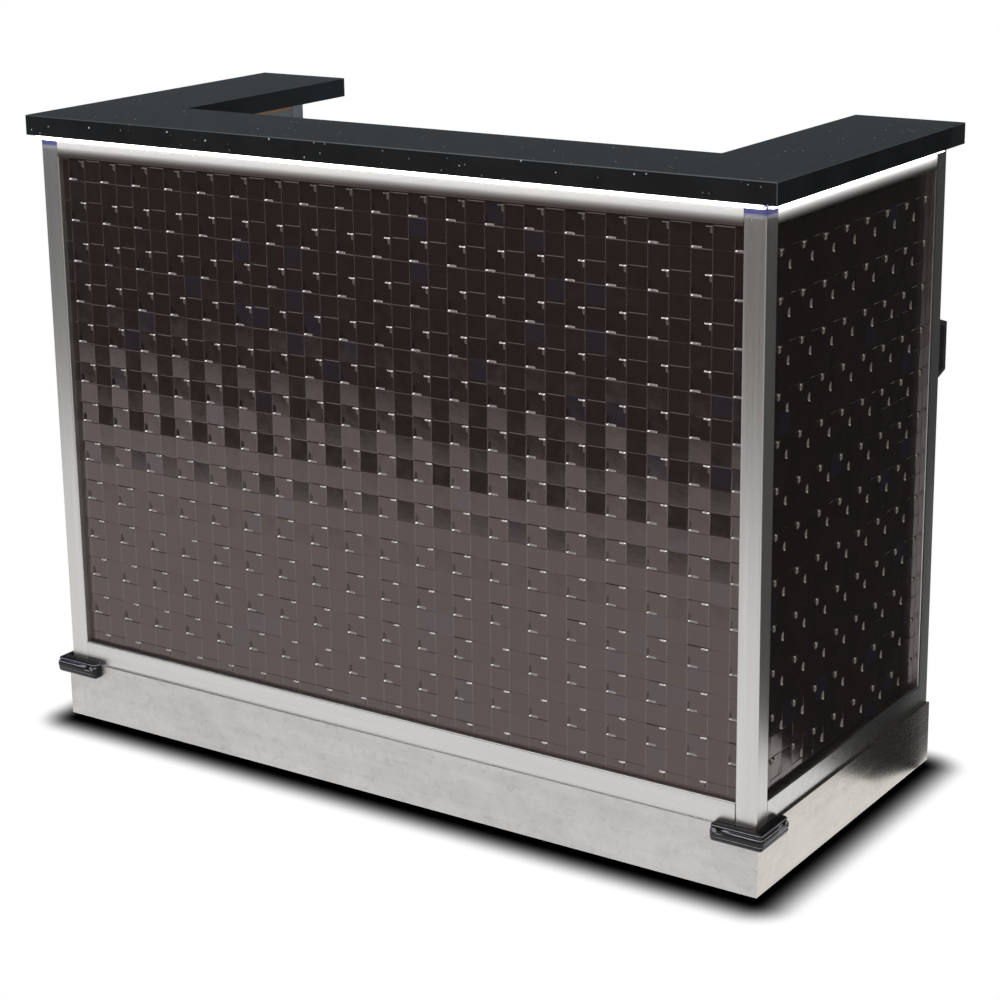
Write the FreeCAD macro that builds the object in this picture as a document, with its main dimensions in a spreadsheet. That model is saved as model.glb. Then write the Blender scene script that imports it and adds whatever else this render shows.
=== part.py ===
import FreeCAD, Part
import os
import re
import Sketcher

# Portable bar: a U-shaped stone counter on a stainless frame with embossed tile panels,
# a stainless skirt that hides four swivel casters, and a work deck on the staff's side.
# Millimetres, +Z up, +Y towards the staff's side, -Y towards the guests. The origin is on
# the floor, under the middle of the bar's outer box.

SIZES = {
    # body and base
    "body_width": 1484,
    "body_depth": 663,
    "caster_height": 98,
    "deck_thick": 18,
    "skirt_gap": 12,
    "skirt_height": 112.5,
    "skirt_sheet": 2,
    "skirt_proud": 5,
    # frame
    "post_height": 1027,
    "post_size": 38.9,
    "post_round": 3,
    "tube_wall": 2,
    "rail_depth": 38.1,
    "low_rail_height": 50,
    "top_rail_height": 38.1,
    # counter
    "counter_thick": 36.4,
    "slab_thick": 20,
    "apron_width": 20,
    "counter_ease": 2,
    "front_overhang": 13.7,
    "side_overhang": 23.9,
    "back_overhang": 19.9,
    "arm_width": 205.8,
    "bar_width": 207,
    # walls
    "wall_depth": 90,
    "panel_recess": 12,
    "panel_thick": 6,
    "panel_gap": 0.5,
    "backer_thick": 12,
    "liner_thick": 1.5,
    "cleat_height": 25,
    "stud_width": 40,
    "stud_inset": 52,
    "side_stud_pitch": 220,
    # lights
    "light_setback": 2,
    "light_width": 10,
    "light_height": 6,
    "light_wall": 1,
    "lens_thick": 1.5,
    "driver_length": 160,
    "driver_height": 50,
    "driver_depth": 30,
    "driver_inset": 272,
    "driver_drop": 170,
    # bumpers, handles and their screws
    "bumper_proud": 18,
    "bumper_leg": 100,
    "bumper_low": 99.5,
    "bumper_height": 31,
    "bumper_corner": 8,
    "bumper_end": 7,
    "bumper_screw_rise": 20.75,
    "bumper_ease": 5,
    "handle_reach": 50,
    "handle_width": 20,
    "handle_bar": 11,
    "handle_low": 709,
    "handle_height": 139,
    "handle_slope": 14,
    "handle_tab": 12,
    "handle_plate": 5,
    "handle_ease": 3,
    "screw_head": 4.5,
    "screw_head_high": 2.4,
    "screw_shank": 2,
    "screw_bite": 16,
    "screw_edge": 12,
    "screw_sink": 4,
    # staff's side
    "work_height": 870,
    "work_depth": 450,
    "work_sheet": 2,
    "work_lip": 42,
    "shelf_drop": 432,
    "shelf_setback": 40,
    "shelf_thick": 18,
    "bearer_leg": 25,
    "bearer_thick": 3,
    "bin_x": -260,
    "bin_length": 420,
    "bin_width": 320,
    "bin_deep": 230,
    "bin_sheet": 1.5,
    "bin_flange": 12,
    "foam_thick": 20,
    "seat_gap": 0.3,
    "guide_wall": 2,
    "guide_ledge": 9,
    "guide_ledge_high": 4,
    "guide_high": 12,
    "cover_sheet": 3,
    "cover_travel": 400,
    "knob_radius": 14,
    "knob_high": 18,
    "drain_radius": 11,
    "drain_bore": 8,
    "drain_drop": 80,
    "valve_radius": 18,
    "valve_centre": 45,
    "stem_radius": 4,
    "stem_length": 8,
    "lever_length": 68,
    "lever_width": 14,
    "lever_thick": 3,
    "lever_round": 4.5,
    "bottle_rail_length": 900,
    "bottle_rail_width": 106,
    "bottle_rail_back": 140,
    "bottle_rail_front": 80,
    "bottle_rail_drop": 20,
    # switch and inlet on the right inner wall
    "switch_y_back": 80,
    "switch_low": 940,
    "switch_high": 60,
    "switch_width": 34,
    "switch_deep": 22,
    "rocker_radius": 9.5,
    "rocker_rise": 4.5,
    "rocker_width": 14.4,
    "rocker_play": 0.5,
    "rocker_pin": 1.5,
    "rocker_sink": 4,
    "rocker_tilt": 8,
    "run_gap": 0.05,
    "inlet_low": 215,
    "inlet_high": 44,
    "inlet_width": 46,
    "inlet_deep": 60,
    "socket_width": 28,
    "socket_high": 22,
    "socket_deep": 18,
    "pin_wide": 4,
    "pin_high": 2,
    "pin_long": 8,
    "pin_pitch": 7,
    # casters
    "caster_inset_x": 97,
    "caster_inset_front": 95,
    "caster_inset_back": 95,
    "plate_x": 95,
    "plate_y": 67,
    "plate_thick": 3,
    "plate_bolt_x": 75,
    "plate_bolt_y": 45,
    "plate_bolt_radius": 4,
    "king_pin": 5,
    "swivel_gap": 0.5,
    "crown_thick": 11,
    "fork_leg": 3,
    "fork_near": 22,
    "fork_far": 26,
    "fork_foot": 10,
    "fork_foot_share": 0.6,
    "fork_play": 1.5,
    "trail": 30,
    "wheel_radius": 37.5,
    "wheel_width": 24,
    "tyre_round": 4,
    "hub_radius": 27,
    "hub_web": 8,
    "hub_rim": 5,
    "hub_boss": 10,
    "axle_radius": 4,
    "axle_head": 7,
    "axle_head_high": 5,
    "pedal_pivot_y": 34,
    "pedal_pivot_z": 88,
    "pedal_pin": 2.5,
    "pedal_lug": 6,
    "pedal_thick": 4,
    "pedal_reach": 76,
    "pedal_width": 20,
    "shoe_near": 46,
    "shoe_far": 54,
    "shoe_low": 75,
}

doc = FreeCAD.newDocument("portable_bar")
sheet = doc.addObject("Spreadsheet::Sheet", "Sizes")
for row, (alias, value) in enumerate(SIZES.items(), 1):
    sheet.set(f"A{row}", alias)
    sheet.set(f"B{row}", str(value))
    sheet.setAlias(f"B{row}", alias)
doc.recompute()

NODES = []
V = FreeCAD.Vector
TOUCH = 1e-6  # how near two lengths are to count as equal
ROCKER_FACETS = 6  # flats on the rounded back of the rocker


def words(expression):
    """Point each size's name in an expression at the sheet."""
    return re.sub(r"[a-z][a-z_]*", lambda word: "Sizes." + word.group() if word.group() in SIZES
                  else word.group(), expression)


def bind(thing, place, expression):
    thing.setExpression(place, words(expression))


def node(piece, label):
    """Keep a finished piece under the name of its node."""
    piece.Label = label
    NODES.append(piece)
    return piece


def put(piece, x="0", y="0", z="0"):
    """Place a piece by three expressions."""
    for axis, value in zip("xyz", (x, y, z)):
        bind(piece, f"Placement.Base.{axis}", value)
    return piece


def box(name, x, y, z):
    """A rectangular piece, from its low and high side along each axis."""
    piece = doc.addObject("Part::Box", name)
    for side, (low, high) in zip(("Length", "Width", "Height"), (x, y, z)):
        bind(piece, side, f"({high}) - ({low})")
    return put(piece, x[0], y[0], z[0])


TURNS = {"X": FreeCAD.Rotation(V(0, 1, 0), 90), "Y": FreeCAD.Rotation(V(1, 0, 0), -90),
         "Z": FreeCAD.Rotation()}


def rod(name, axis, start, radius, length):
    """A round piece from its start point along +X, +Y or +Z."""
    piece = doc.addObject("Part::Cylinder", name)
    piece.Placement.Rotation = TURNS[axis]
    bind(piece, "Radius", radius)
    bind(piece, "Height", length)
    return put(piece, *start)


def joined(name, pieces):
    piece = doc.addObject("Part::MultiFuse", name)
    piece.Shapes = pieces
    piece.Refine = True
    return piece


def cut(name, base, tool):
    piece = doc.addObject("Part::Cut", name)
    piece.Base = base
    piece.Tool = tool
    return piece


def group(name, pieces):
    """Separate solids kept in one node."""
    piece = doc.addObject("Part::Compound", name)
    piece.Links = pieces
    return piece


def draw(body, name, plane, level, loops):
    """A sketch at a level of one of the body's planes.

    A loop is a list of corner points, or a centre and a radius for a circle."""
    sketch = body.newObject("Sketcher::SketchObject", name)
    role = plane + "_Plane"
    base = [feature for feature in body.Origin.OriginFeatures if feature.Role == role][0]
    sketch.AttachmentSupport = [(base, "")]
    sketch.MapMode = "FlatFace"
    bind(sketch, "AttachmentOffset.Base.z", f"-({level})" if plane == "XZ" else level)
    for loop in loops:
        if isinstance(loop, dict):
            guess = Part.Circle(corner_guess(loop["centre"]), V(0, 0, 1), worth(loop["radius"]))
            circle = sketch.addGeometry(guess, False)
            held = [(circle, 3, loop["centre"])]
            size = sketch.addConstraint(Sketcher.Constraint("Radius", circle, guess.Radius))
            bind(sketch, f"Constraints[{size}]", loop["radius"])
        else:
            corners = [corner_guess(point) for point in loop]
            first = sketch.GeometryCount
            count = len(loop)
            for index in range(count):
                line = Part.LineSegment(corners[index], corners[(index + 1) % count])
                sketch.addGeometry(line, False)
            for index in range(count):
                following = first + (index + 1) % count
                sketch.addConstraint(Sketcher.Constraint("Coincident", first + index, 2, following, 1))
            held = [(first + index, 1, point) for index, point in enumerate(loop)]
        for shape, end, point in held:
            for kind, value in zip(("DistanceX", "DistanceY"), point):
                rule = Sketcher.Constraint(kind, -1, 1, shape, end, worth(value))
                at = sketch.addConstraint(rule)
                bind(sketch, f"Constraints[{at}]", value)
    return sketch


def worth(expression):
    """The value of an expression of sizes, for a sketch's first guess."""
    probe = sheet.evalExpression(words(expression))
    return float(getattr(probe, "Value", probe))


def corner_guess(point):
    return V(worth(point[0]), worth(point[1]), 0)


def profile(name, plane, loops, low, high, soft=None):
    """A body padded from a sketch between two levels, with rounded edges where asked.

    soft is a list of pairs: a radius, and a test that picks edges."""
    body = doc.addObject("PartDesign::Body", name)
    sketch = draw(body, name + "_outline", plane, low, loops)
    pad = body.newObject("PartDesign::Pad", name + "_pad")
    pad.Profile = sketch
    pad.Reversed = plane == "XZ"
    bind(pad, "Length", f"({high}) - ({low})")
    for index, (radius, chosen) in enumerate(soft or []):
        soften(body, f"{name}_round_{index + 1}", radius, chosen)
    return body


def soften(body, name, radius, chosen):
    doc.recompute()
    base = body.Tip
    edges = [f"Edge{index}" for index, edge in enumerate(base.Shape.Edges, 1)
             if chosen(edge, base.Shape.BoundBox)]
    fillet = body.newObject("PartDesign::Fillet", name)
    fillet.Base = (base, edges)
    bind(fillet, "Radius", radius)
    return fillet


def along(edge, axis):
    """Whether an edge is a straight one along an axis."""
    ends = [vertex.Point for vertex in edge.Vertexes]
    if len(ends) < 2 or not isinstance(edge.Curve, Part.Line):
        return False
    span = ends[1] - ends[0]
    return abs(abs(getattr(span, axis)) - span.Length) < TOUCH


def at_side(edge, bounds, axis, side):
    """Whether an edge lies wholly on the low or high side of a box."""
    limit = getattr(bounds, axis.upper() + side)
    return all(abs(getattr(vertex.Point, axis) - limit) < TOUCH for vertex in edge.Vertexes)


def corner(edge, bounds, along_axis):
    """Whether an edge is one of the four outer corners along an axis."""
    across = [axis for axis in "xyz" if axis != along_axis]
    return along(edge, along_axis) and all(
        at_side(edge, bounds, axis, "Min") or at_side(edge, bounds, axis, "Max") for axis in across)


def full_height(edge, bounds):
    """Whether an edge is an upright one from the lowest level to the highest."""
    return along(edge, "z") and abs(edge.Length - bounds.ZLength) < TOUCH


def rectangle(a, b):
    """The four corners between two pairs of expressions."""
    return [(a[0], b[0]), (a[1], b[0]), (a[1], b[1]), (a[0], b[1])]


def around(centre, reach):
    """A span that reaches as far to both sides of a centre."""
    return (f"{centre} - ({reach})", f"{centre} + ({reach})")


def mirrored(span):
    """The same span on the other side of the middle plane."""
    return (f"-({span[1]})", f"-({span[0]})")


# Levels and places that follow from the sizes
HALF = "(body_width/2)"
FRONT = "((skirt_proud + bumper_proud - body_depth - handle_reach)/2)"
BACK = f"({FRONT} + body_depth)"
DECK_TOP = "(caster_height + deck_thick)"
LOW_RAIL_TOP = f"({DECK_TOP} + low_rail_height)"
COUNTER_LOW = f"({DECK_TOP} + post_height)"
COUNTER_TOP = f"({COUNTER_LOW} + counter_thick)"
TOP_RAIL_LOW = f"({COUNTER_LOW} - top_rail_height)"
COUNTER_HALF = f"({HALF} + side_overhang)"
COUNTER_FRONT = f"({FRONT} - front_overhang)"
COUNTER_BACK = f"({BACK} + back_overhang)"
ARM_INNER = f"({COUNTER_HALF} - arm_width)"
BAR_INNER = f"({COUNTER_FRONT} + bar_width)"
POST_INNER = f"({HALF} - post_size)"
WALL_INNER = f"({HALF} - wall_depth)"
WALL_BACK = f"({FRONT} + wall_depth)"
LINER_TOP = f"({COUNTER_LOW} - cleat_height)"
STUD_PITCH = f"(({WALL_INNER} - stud_inset)/2)"
SKIRT_TOP = "(skirt_gap + skirt_height)"
SKIRT_OUT = f"({HALF} + skirt_proud)"
SKIRT_FRONT = f"({FRONT} - skirt_proud)"


def tube(name, x, y, z, axis):
    """A square tube with rounded corners, from its outer box."""
    spans = {"x": x, "y": y, "z": z}
    plane = {"x": "YZ", "y": "XZ", "z": "XY"}[axis]
    first, second = (spans[side.lower()] for side in plane)
    inner_first = (f"{first[0]} + tube_wall", f"{first[1]} - tube_wall")
    inner_second = (f"{second[0]} + tube_wall", f"{second[1]} - tube_wall")
    loops = [rectangle(first, second), rectangle(inner_first, inner_second)]
    low, high = spans[axis]
    return profile(name, plane, loops, low, high,
                   [("post_round", lambda edge, bounds: corner(edge, bounds, axis))])


def make_counter():
    """The stone top, a U with a deeper edge all round, and the boards inside that edge."""
    outline = [(f"-{COUNTER_HALF}", COUNTER_FRONT), (COUNTER_HALF, COUNTER_FRONT),
               (COUNTER_HALF, COUNTER_BACK), (ARM_INNER, COUNTER_BACK), (ARM_INNER, BAR_INNER),
               (f"-{ARM_INNER}", BAR_INNER), (f"-{ARM_INNER}", COUNTER_BACK),
               (f"-{COUNTER_HALF}", COUNTER_BACK)]
    wide = f"({COUNTER_HALF} - apron_width)"
    near = f"({COUNTER_FRONT} + apron_width)"
    far = f"({COUNTER_BACK} - apron_width)"
    arm = f"({ARM_INNER} + apron_width)"
    strip = f"({BAR_INNER} - apron_width)"
    hollow = [(f"-{wide}", near), (wide, near), (wide, far), (arm, far), (arm, strip),
              (f"-{arm}", strip), (f"-{arm}", far), (f"-{wide}", far)]
    body = profile("countertop", "XY", [outline], COUNTER_LOW, COUNTER_TOP)
    sketch = draw(body, "countertop_underside", "XY", COUNTER_LOW, [hollow])
    pocket = body.newObject("PartDesign::Pocket", "countertop_hollow")
    pocket.Profile = sketch
    pocket.Reversed = True
    bind(pocket, "Length", "counter_thick - slab_thick")
    soften(body, "countertop_arris", "counter_ease",
           lambda edge, bounds: at_side(edge, bounds, "z", "Max") or full_height(edge, bounds))
    node(body, "countertop")

    level = (COUNTER_LOW, f"{COUNTER_LOW} + counter_thick - slab_thick")
    arm_span = (f"{arm} + seat_gap", f"{wide} - seat_gap")
    arm_run = (f"{strip} - seat_gap", f"{far} - seat_gap")
    boards = [box("top_core_front", mirrored_full(f"{wide} - seat_gap"),
                  (f"{near} + seat_gap", f"{strip} - seat_gap"), level),
              box("top_core_right", arm_span, arm_run, level),
              box("top_core_left", mirrored(arm_span), arm_run, level)]
    node(group("top_core_boards", boards), "top_core")


def mirrored_full(reach):
    """A span that reaches as far to both sides of the middle plane."""
    return (f"-({reach})", reach)


def make_frame():
    """Posts, rails and the strips that close the wall ends."""
    upright = (DECK_TOP, COUNTER_LOW)
    outer = (POST_INNER, HALF)
    near = (FRONT, f"{FRONT} + post_size")
    far = (f"{BACK} - post_size", BACK)
    between = (near[1], far[0])
    for depth, run in (("front", near), ("rear", far)):
        for side, span in (("right", outer), ("left", mirrored(outer))):
            name = f"post_{depth}_{side}"
            node(tube(name, span, run, upright, "z"), name)
    inner = (WALL_INNER, f"{WALL_INNER} + post_size")
    node(group("inner_post_pair", [tube("inner_post_right", inner, far, upright, "z"),
                                   tube("inner_post_left", mirrored(inner), far, upright, "z")]),
         "inner_posts")

    high = (TOP_RAIL_LOW, COUNTER_LOW)
    low = (DECK_TOP, LOW_RAIL_TOP)
    front_run = (FRONT, f"{FRONT} + rail_depth")
    side_span = (f"{HALF} - rail_depth", HALF)
    node(tube("top_rail_front", mirrored_full(POST_INNER), front_run, high, "x"), "top_rail_front")
    node(group("side_top_rail_pair",
               [tube("top_rail_right", side_span, between, high, "y"),
                tube("top_rail_left", mirrored(side_span), between, high, "y")]), "side_top_rails")
    node(group("bottom_rail_set",
               [tube("bottom_rail_front", mirrored_full(POST_INNER), front_run, low, "x"),
                tube("bottom_rail_right", side_span, between, low, "y"),
                tube("bottom_rail_left", mirrored(side_span), between, low, "y"),
                tube("bottom_rail_rear", mirrored_full(WALL_INNER), (f"{BACK} - rail_depth", BACK),
                     low, "x")]), "bottom_rails")

    gap = (inner[1], POST_INNER)
    edge = (f"{BACK} - liner_thick", BACK)
    node(group("wall_end_strip_pair", [box("wall_end_strip_right", gap, edge, upright),
                                       box("wall_end_strip_left", mirrored(gap), edge, upright)]),
         "wall_end_strips")


def make_walls():
    """Embossed panels outside, boards and studs behind them, and liners inside."""
    rise = (f"{LOW_RAIL_TOP} + panel_gap", f"{TOP_RAIL_LOW} - panel_gap")
    width = mirrored_full(f"{POST_INNER} - panel_gap")
    depth = (f"{FRONT} + post_size + panel_gap", f"{BACK} - post_size - panel_gap")
    face = f"({FRONT} + panel_recess)"
    side_face = f"({HALF} - panel_recess)"
    skin = (f"{side_face} - panel_thick", side_face)
    board = (f"{skin[0]} - backer_thick", skin[0])
    node(box("front_tile_panel", width, (face, f"{face} + panel_thick"), rise), "front_panel")
    node(box("right_tile_panel", skin, depth, rise), "right_panel")
    node(box("left_tile_panel", mirrored(skin), depth, rise), "left_panel")
    board_front = (f"{face} + panel_thick", f"{face} + panel_thick + backer_thick")
    node(group("backer_set", [box("backer_front", width, board_front, rise),
                              box("backer_right", board, depth, rise),
                              box("backer_left", mirrored(board), depth, rise)]), "panel_backers")

    upright = (LOW_RAIL_TOP, TOP_RAIL_LOW)
    liner_front = (f"{WALL_BACK} - liner_thick", WALL_BACK)
    liner_side = (WALL_INNER, f"{WALL_INNER} + liner_thick")
    studs = []
    for step in range(-2, 3):
        centre = f"{step}*{STUD_PITCH}"
        studs.append(box(f"stud_front_{step + 3}", (f"{centre} - stud_width/2",
                                                    f"{centre} + stud_width/2"),
                         (board_front[1], liner_front[0]), upright))
    side_span = (liner_side[1], board[0])
    for step in (1, 2):
        centre = f"({WALL_BACK} + {step}*side_stud_pitch - side_stud_pitch/4)"
        run = (f"{centre} - stud_width/2", f"{centre} + stud_width/2")
        studs.append(box(f"stud_right_{step}", side_span, run, upright))
        studs.append(box(f"stud_left_{step}", mirrored(side_span), run, upright))
    node(group("stud_set", studs), "wall_studs")

    sheet_rise = (DECK_TOP, LINER_TOP)
    side_run = (liner_front[0], f"{BACK} - post_size")
    node(box("front_liner_sheet", mirrored_full(WALL_INNER), liner_front, sheet_rise), "liner_front")
    node(group("side_liner_pair", [box("liner_right", liner_side, side_run, sheet_rise),
                                   box("liner_left", mirrored(liner_side), side_run, sheet_rise)]),
         "side_liners")

    cleat_rise = (LINER_TOP, COUNTER_LOW)
    cleat_side = (WALL_INNER, f"{HALF} - rail_depth")
    cleat_run = (f"{FRONT} + post_size", f"{BACK} - post_size")
    node(group("cleat_set", [box("cleat_front", mirrored_full(WALL_INNER),
                                 (f"{FRONT} + rail_depth", WALL_BACK), cleat_rise),
                             box("cleat_right", cleat_side, cleat_run, cleat_rise),
                             box("cleat_left", mirrored(cleat_side), cleat_run, cleat_rise)]),
         "top_cleats")


def make_base():
    """The deck under everything and the skirt round three sides of it."""
    lap = f"({SKIRT_OUT} - skirt_sheet)"
    lap_front = f"({SKIRT_FRONT} + skirt_sheet)"
    node(box("base_deck_board", mirrored_full(lap), (lap_front, BACK), ("caster_height", DECK_TOP)),
         "base_deck")
    rise = ("skirt_gap", SKIRT_TOP)
    fold = (f"{SKIRT_TOP} - skirt_sheet", SKIRT_TOP)
    node(joined("skirt_front_fold",
                [box("skirt_front_face", mirrored_full(SKIRT_OUT), (SKIRT_FRONT, lap_front), rise),
                 box("skirt_front_ledge", mirrored_full(lap), (lap_front, FRONT), fold)]),
         "skirt_front")
    for side, flip in (("right", tuple), ("left", mirrored)):
        node(joined(f"skirt_{side}_fold",
                    [box(f"skirt_{side}_face", flip((lap, SKIRT_OUT)), (lap_front, BACK), rise),
                     box(f"skirt_{side}_ledge", flip((HALF, lap)), (FRONT, BACK), fold)]),
             f"skirt_{side}")


def screw(name, axis, x, y, z, bite):
    """A pan-head screw whose head is seated at a point and whose shank runs along an axis.

    bite is the shank's length, with a minus sign where it runs towards the low side."""
    back = bite.startswith("-")
    length = bite.lstrip("-")
    index = "XYZ".index(axis)
    head_at = [x, y, z]
    shank_at = [x, y, z]
    if back:
        shank_at[index] = f"{head_at[index]} - ({length})"
    else:
        head_at[index] = f"{head_at[index]} - screw_head_high"
    return joined(name, [rod(name + "_head", axis, head_at, "screw_head", "screw_head_high"),
                         rod(name + "_shank", axis, shank_at, "screw_shank", length)])


def make_trim():
    """Corner bumpers, rear handles and the screws of both."""
    out = f"({SKIRT_OUT} + bumper_proud)"
    near = f"({SKIRT_FRONT} - bumper_proud)"
    level = "(bumper_low + bumper_screw_rise)"
    rise = ("bumper_low", "bumper_low + bumper_height")
    screws = []
    for side, sign, facing, away in (("right", "", "Max", "Min"), ("left", "-", "Min", "Max")):
        outline = [(f"{sign}{x}", y) for x, y in (
            (out, near), (out, f"{near} + bumper_leg"), (SKIRT_OUT, f"{near} + bumper_leg"),
            (SKIRT_OUT, SKIRT_FRONT), (f"({out} - bumper_leg)", SKIRT_FRONT),
            (f"({out} - bumper_leg)", near))]

        def bend(edge, bounds):
            return (along(edge, "z") and at_side(edge, bounds, "y", "Min")
                    and at_side(edge, bounds, "x", facing))

        def leg_end(edge, bounds):
            side_leg = at_side(edge, bounds, "x", facing) and at_side(edge, bounds, "y", "Max")
            front_leg = at_side(edge, bounds, "y", "Min") and at_side(edge, bounds, "x", away)
            return along(edge, "z") and (side_leg or front_leg)

        def outer_rim(edge, bounds):
            level_edge = at_side(edge, bounds, "z", "Min") or at_side(edge, bounds, "z", "Max")
            flush = at_side(edge, bounds, "y", "Min") or at_side(edge, bounds, "x", facing)
            return level_edge and (flush or not isinstance(edge.Curve, Part.Line))

        name = f"bumper_{side}"
        rounds = [("bumper_corner", bend), ("bumper_end", leg_end), ("bumper_ease", outer_rim)]
        moulded = profile(f"moulding_{side}", "XY", [outline], *rise, rounds)
        leg_x = f"({sign}({out} - bumper_leg + screw_edge))"
        leg_y = f"({near} + bumper_leg - screw_edge)"
        grip = "(bumper_proud - screw_sink + screw_bite)"
        seat = f"({near} + screw_sink)"
        side_seat = f"({sign}({out} - screw_sink))"
        inward = f"-{grip}" if sign == "" else grip
        screws.append(screw(f"screw_front_{side}", "Y", leg_x, seat, level, grip))
        screws.append(screw(f"screw_side_{side}", "X", side_seat, leg_y, level, inward))
        well = "(screw_head + seat_gap)"
        hole = "(screw_shank + run_gap)"
        side_mouth = side_seat if sign == "" else f"(-{out} - screw_sink)"
        wells = [rod(f"well_front_{side}", "Y", (leg_x, f"({near} - screw_sink)", level), well,
                     "2*screw_sink"),
                 rod(f"well_side_{side}", "X", (side_mouth, leg_y, level), well, "2*screw_sink"),
                 rod(f"hole_front_{side}", "Y", (leg_x, near, level), hole, "bumper_proud"),
                 rod(f"hole_side_{side}", "X",
                     (SKIRT_OUT if sign == "" else f"(-{out})", leg_y, level), hole,
                     "bumper_proud")]
        node(cut(f"bumper_bored_{side}", moulded, joined(f"bumper_bores_{side}", wells)), name)

    foot = f"({BACK} + handle_reach)"
    plate = f"({BACK} + handle_plate)"
    top = "(handle_low + handle_height)"
    bottom_tab = "(handle_low + handle_tab)"
    top_tab = f"({top} - handle_tab)"

    def outer_bend(edge, bounds):
        return along(edge, "x") and at_side(edge, bounds, "y", "Max")

    for side, sign in (("right", ""), ("left", "-")):
        centre = f"({sign}({HALF} - post_size/2))"
        outer = [(BACK, "handle_low"), (plate, "handle_low"), (plate, bottom_tab),
                 (foot, f"{bottom_tab} + handle_slope"), (foot, f"{top_tab} - handle_slope"),
                 (plate, top_tab), (plate, top), (BACK, top)]
        inner = [(plate, f"{bottom_tab} + handle_bar"),
                 (f"{foot} - handle_bar", f"{bottom_tab} + handle_slope + handle_bar/2"),
                 (f"{foot} - handle_bar", f"{top_tab} - handle_slope - handle_bar/2"),
                 (plate, f"{top_tab} - handle_bar")]
        name = f"handle_{side}"
        node(profile(name, "YZ", [outer, inner], f"{centre} - handle_width/2",
                     f"{centre} + handle_width/2", [("handle_ease", outer_bend)]), name)
        for end, height in (("low", "(handle_low + handle_tab/2)"), ("high", f"({top} - handle_tab/2)")):
            screws.append(screw(f"screw_handle_{side}_{end}", "Y", centre, plate, height,
                                "-(handle_plate + tube_wall)"))
    node(group("screw_set", screws), "trim_screws")


def make_lights():
    """Channels with their diffusers under the counter's edge, and the driver."""
    channels = []
    lenses = []
    low = f"({COUNTER_LOW} - light_height)"

    def section(outer):
        """A channel open downwards, from its outer side towards the middle."""
        inner = f"({outer} + light_width)"
        return [(outer, low), (f"{outer} + light_wall", low),
                (f"{outer} + light_wall", f"{COUNTER_LOW} - light_wall"),
                (f"{inner} - light_wall", f"{COUNTER_LOW} - light_wall"),
                (f"{inner} - light_wall", low), (inner, low), (inner, COUNTER_LOW),
                (outer, COUNTER_LOW)]

    front = f"({COUNTER_FRONT} + light_setback)"
    between = mirrored_full(POST_INNER)
    run = (f"{FRONT} + post_size", f"{BACK} - post_size")
    lens_rise = (low, f"{low} + lens_thick")
    channels.append(profile("light_channel_front", "YZ", [section(front)], *between))
    lenses.append(box("light_lens_front", between,
                      (f"{front} + light_wall", f"{front} + light_width - light_wall"), lens_rise))
    outer = f"({HALF} + light_setback)"
    lens = (f"{outer} + light_wall", f"{outer} + light_width - light_wall")
    for side, start, span in (("right", outer, lens),
                              ("left", f"(-{outer} - light_width)", mirrored(lens))):
        channels.append(profile(f"light_channel_{side}", "XZ", [section(start)], *run))
        lenses.append(box(f"light_lens_{side}", span, run, lens_rise))
    node(group("light_channel_set", channels), "led_channels")
    node(group("light_lens_set", lenses), "led_lenses")
    driver_low = "(work_height - driver_drop)"
    node(box("driver_case", around(f"({WALL_INNER} - driver_inset)", "driver_length/2"),
             (WALL_BACK, f"{WALL_BACK} + driver_depth"),
             (driver_low, f"{driver_low} + driver_height")), "led_driver")


BIN_Y = f"({WALL_BACK} + work_depth/2)"
BIN_HALF_X = "(bin_length/2)"
BIN_HALF_Y = "(bin_width/2)"
BIN_FLOOR = "(work_height - bin_deep)"
WORK_EDGE = f"({WALL_BACK} + work_depth)"
SHELF_TOP = "(work_height - shelf_drop)"
SHELF_EDGE = f"({WORK_EDGE} - shelf_setback)"


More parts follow.
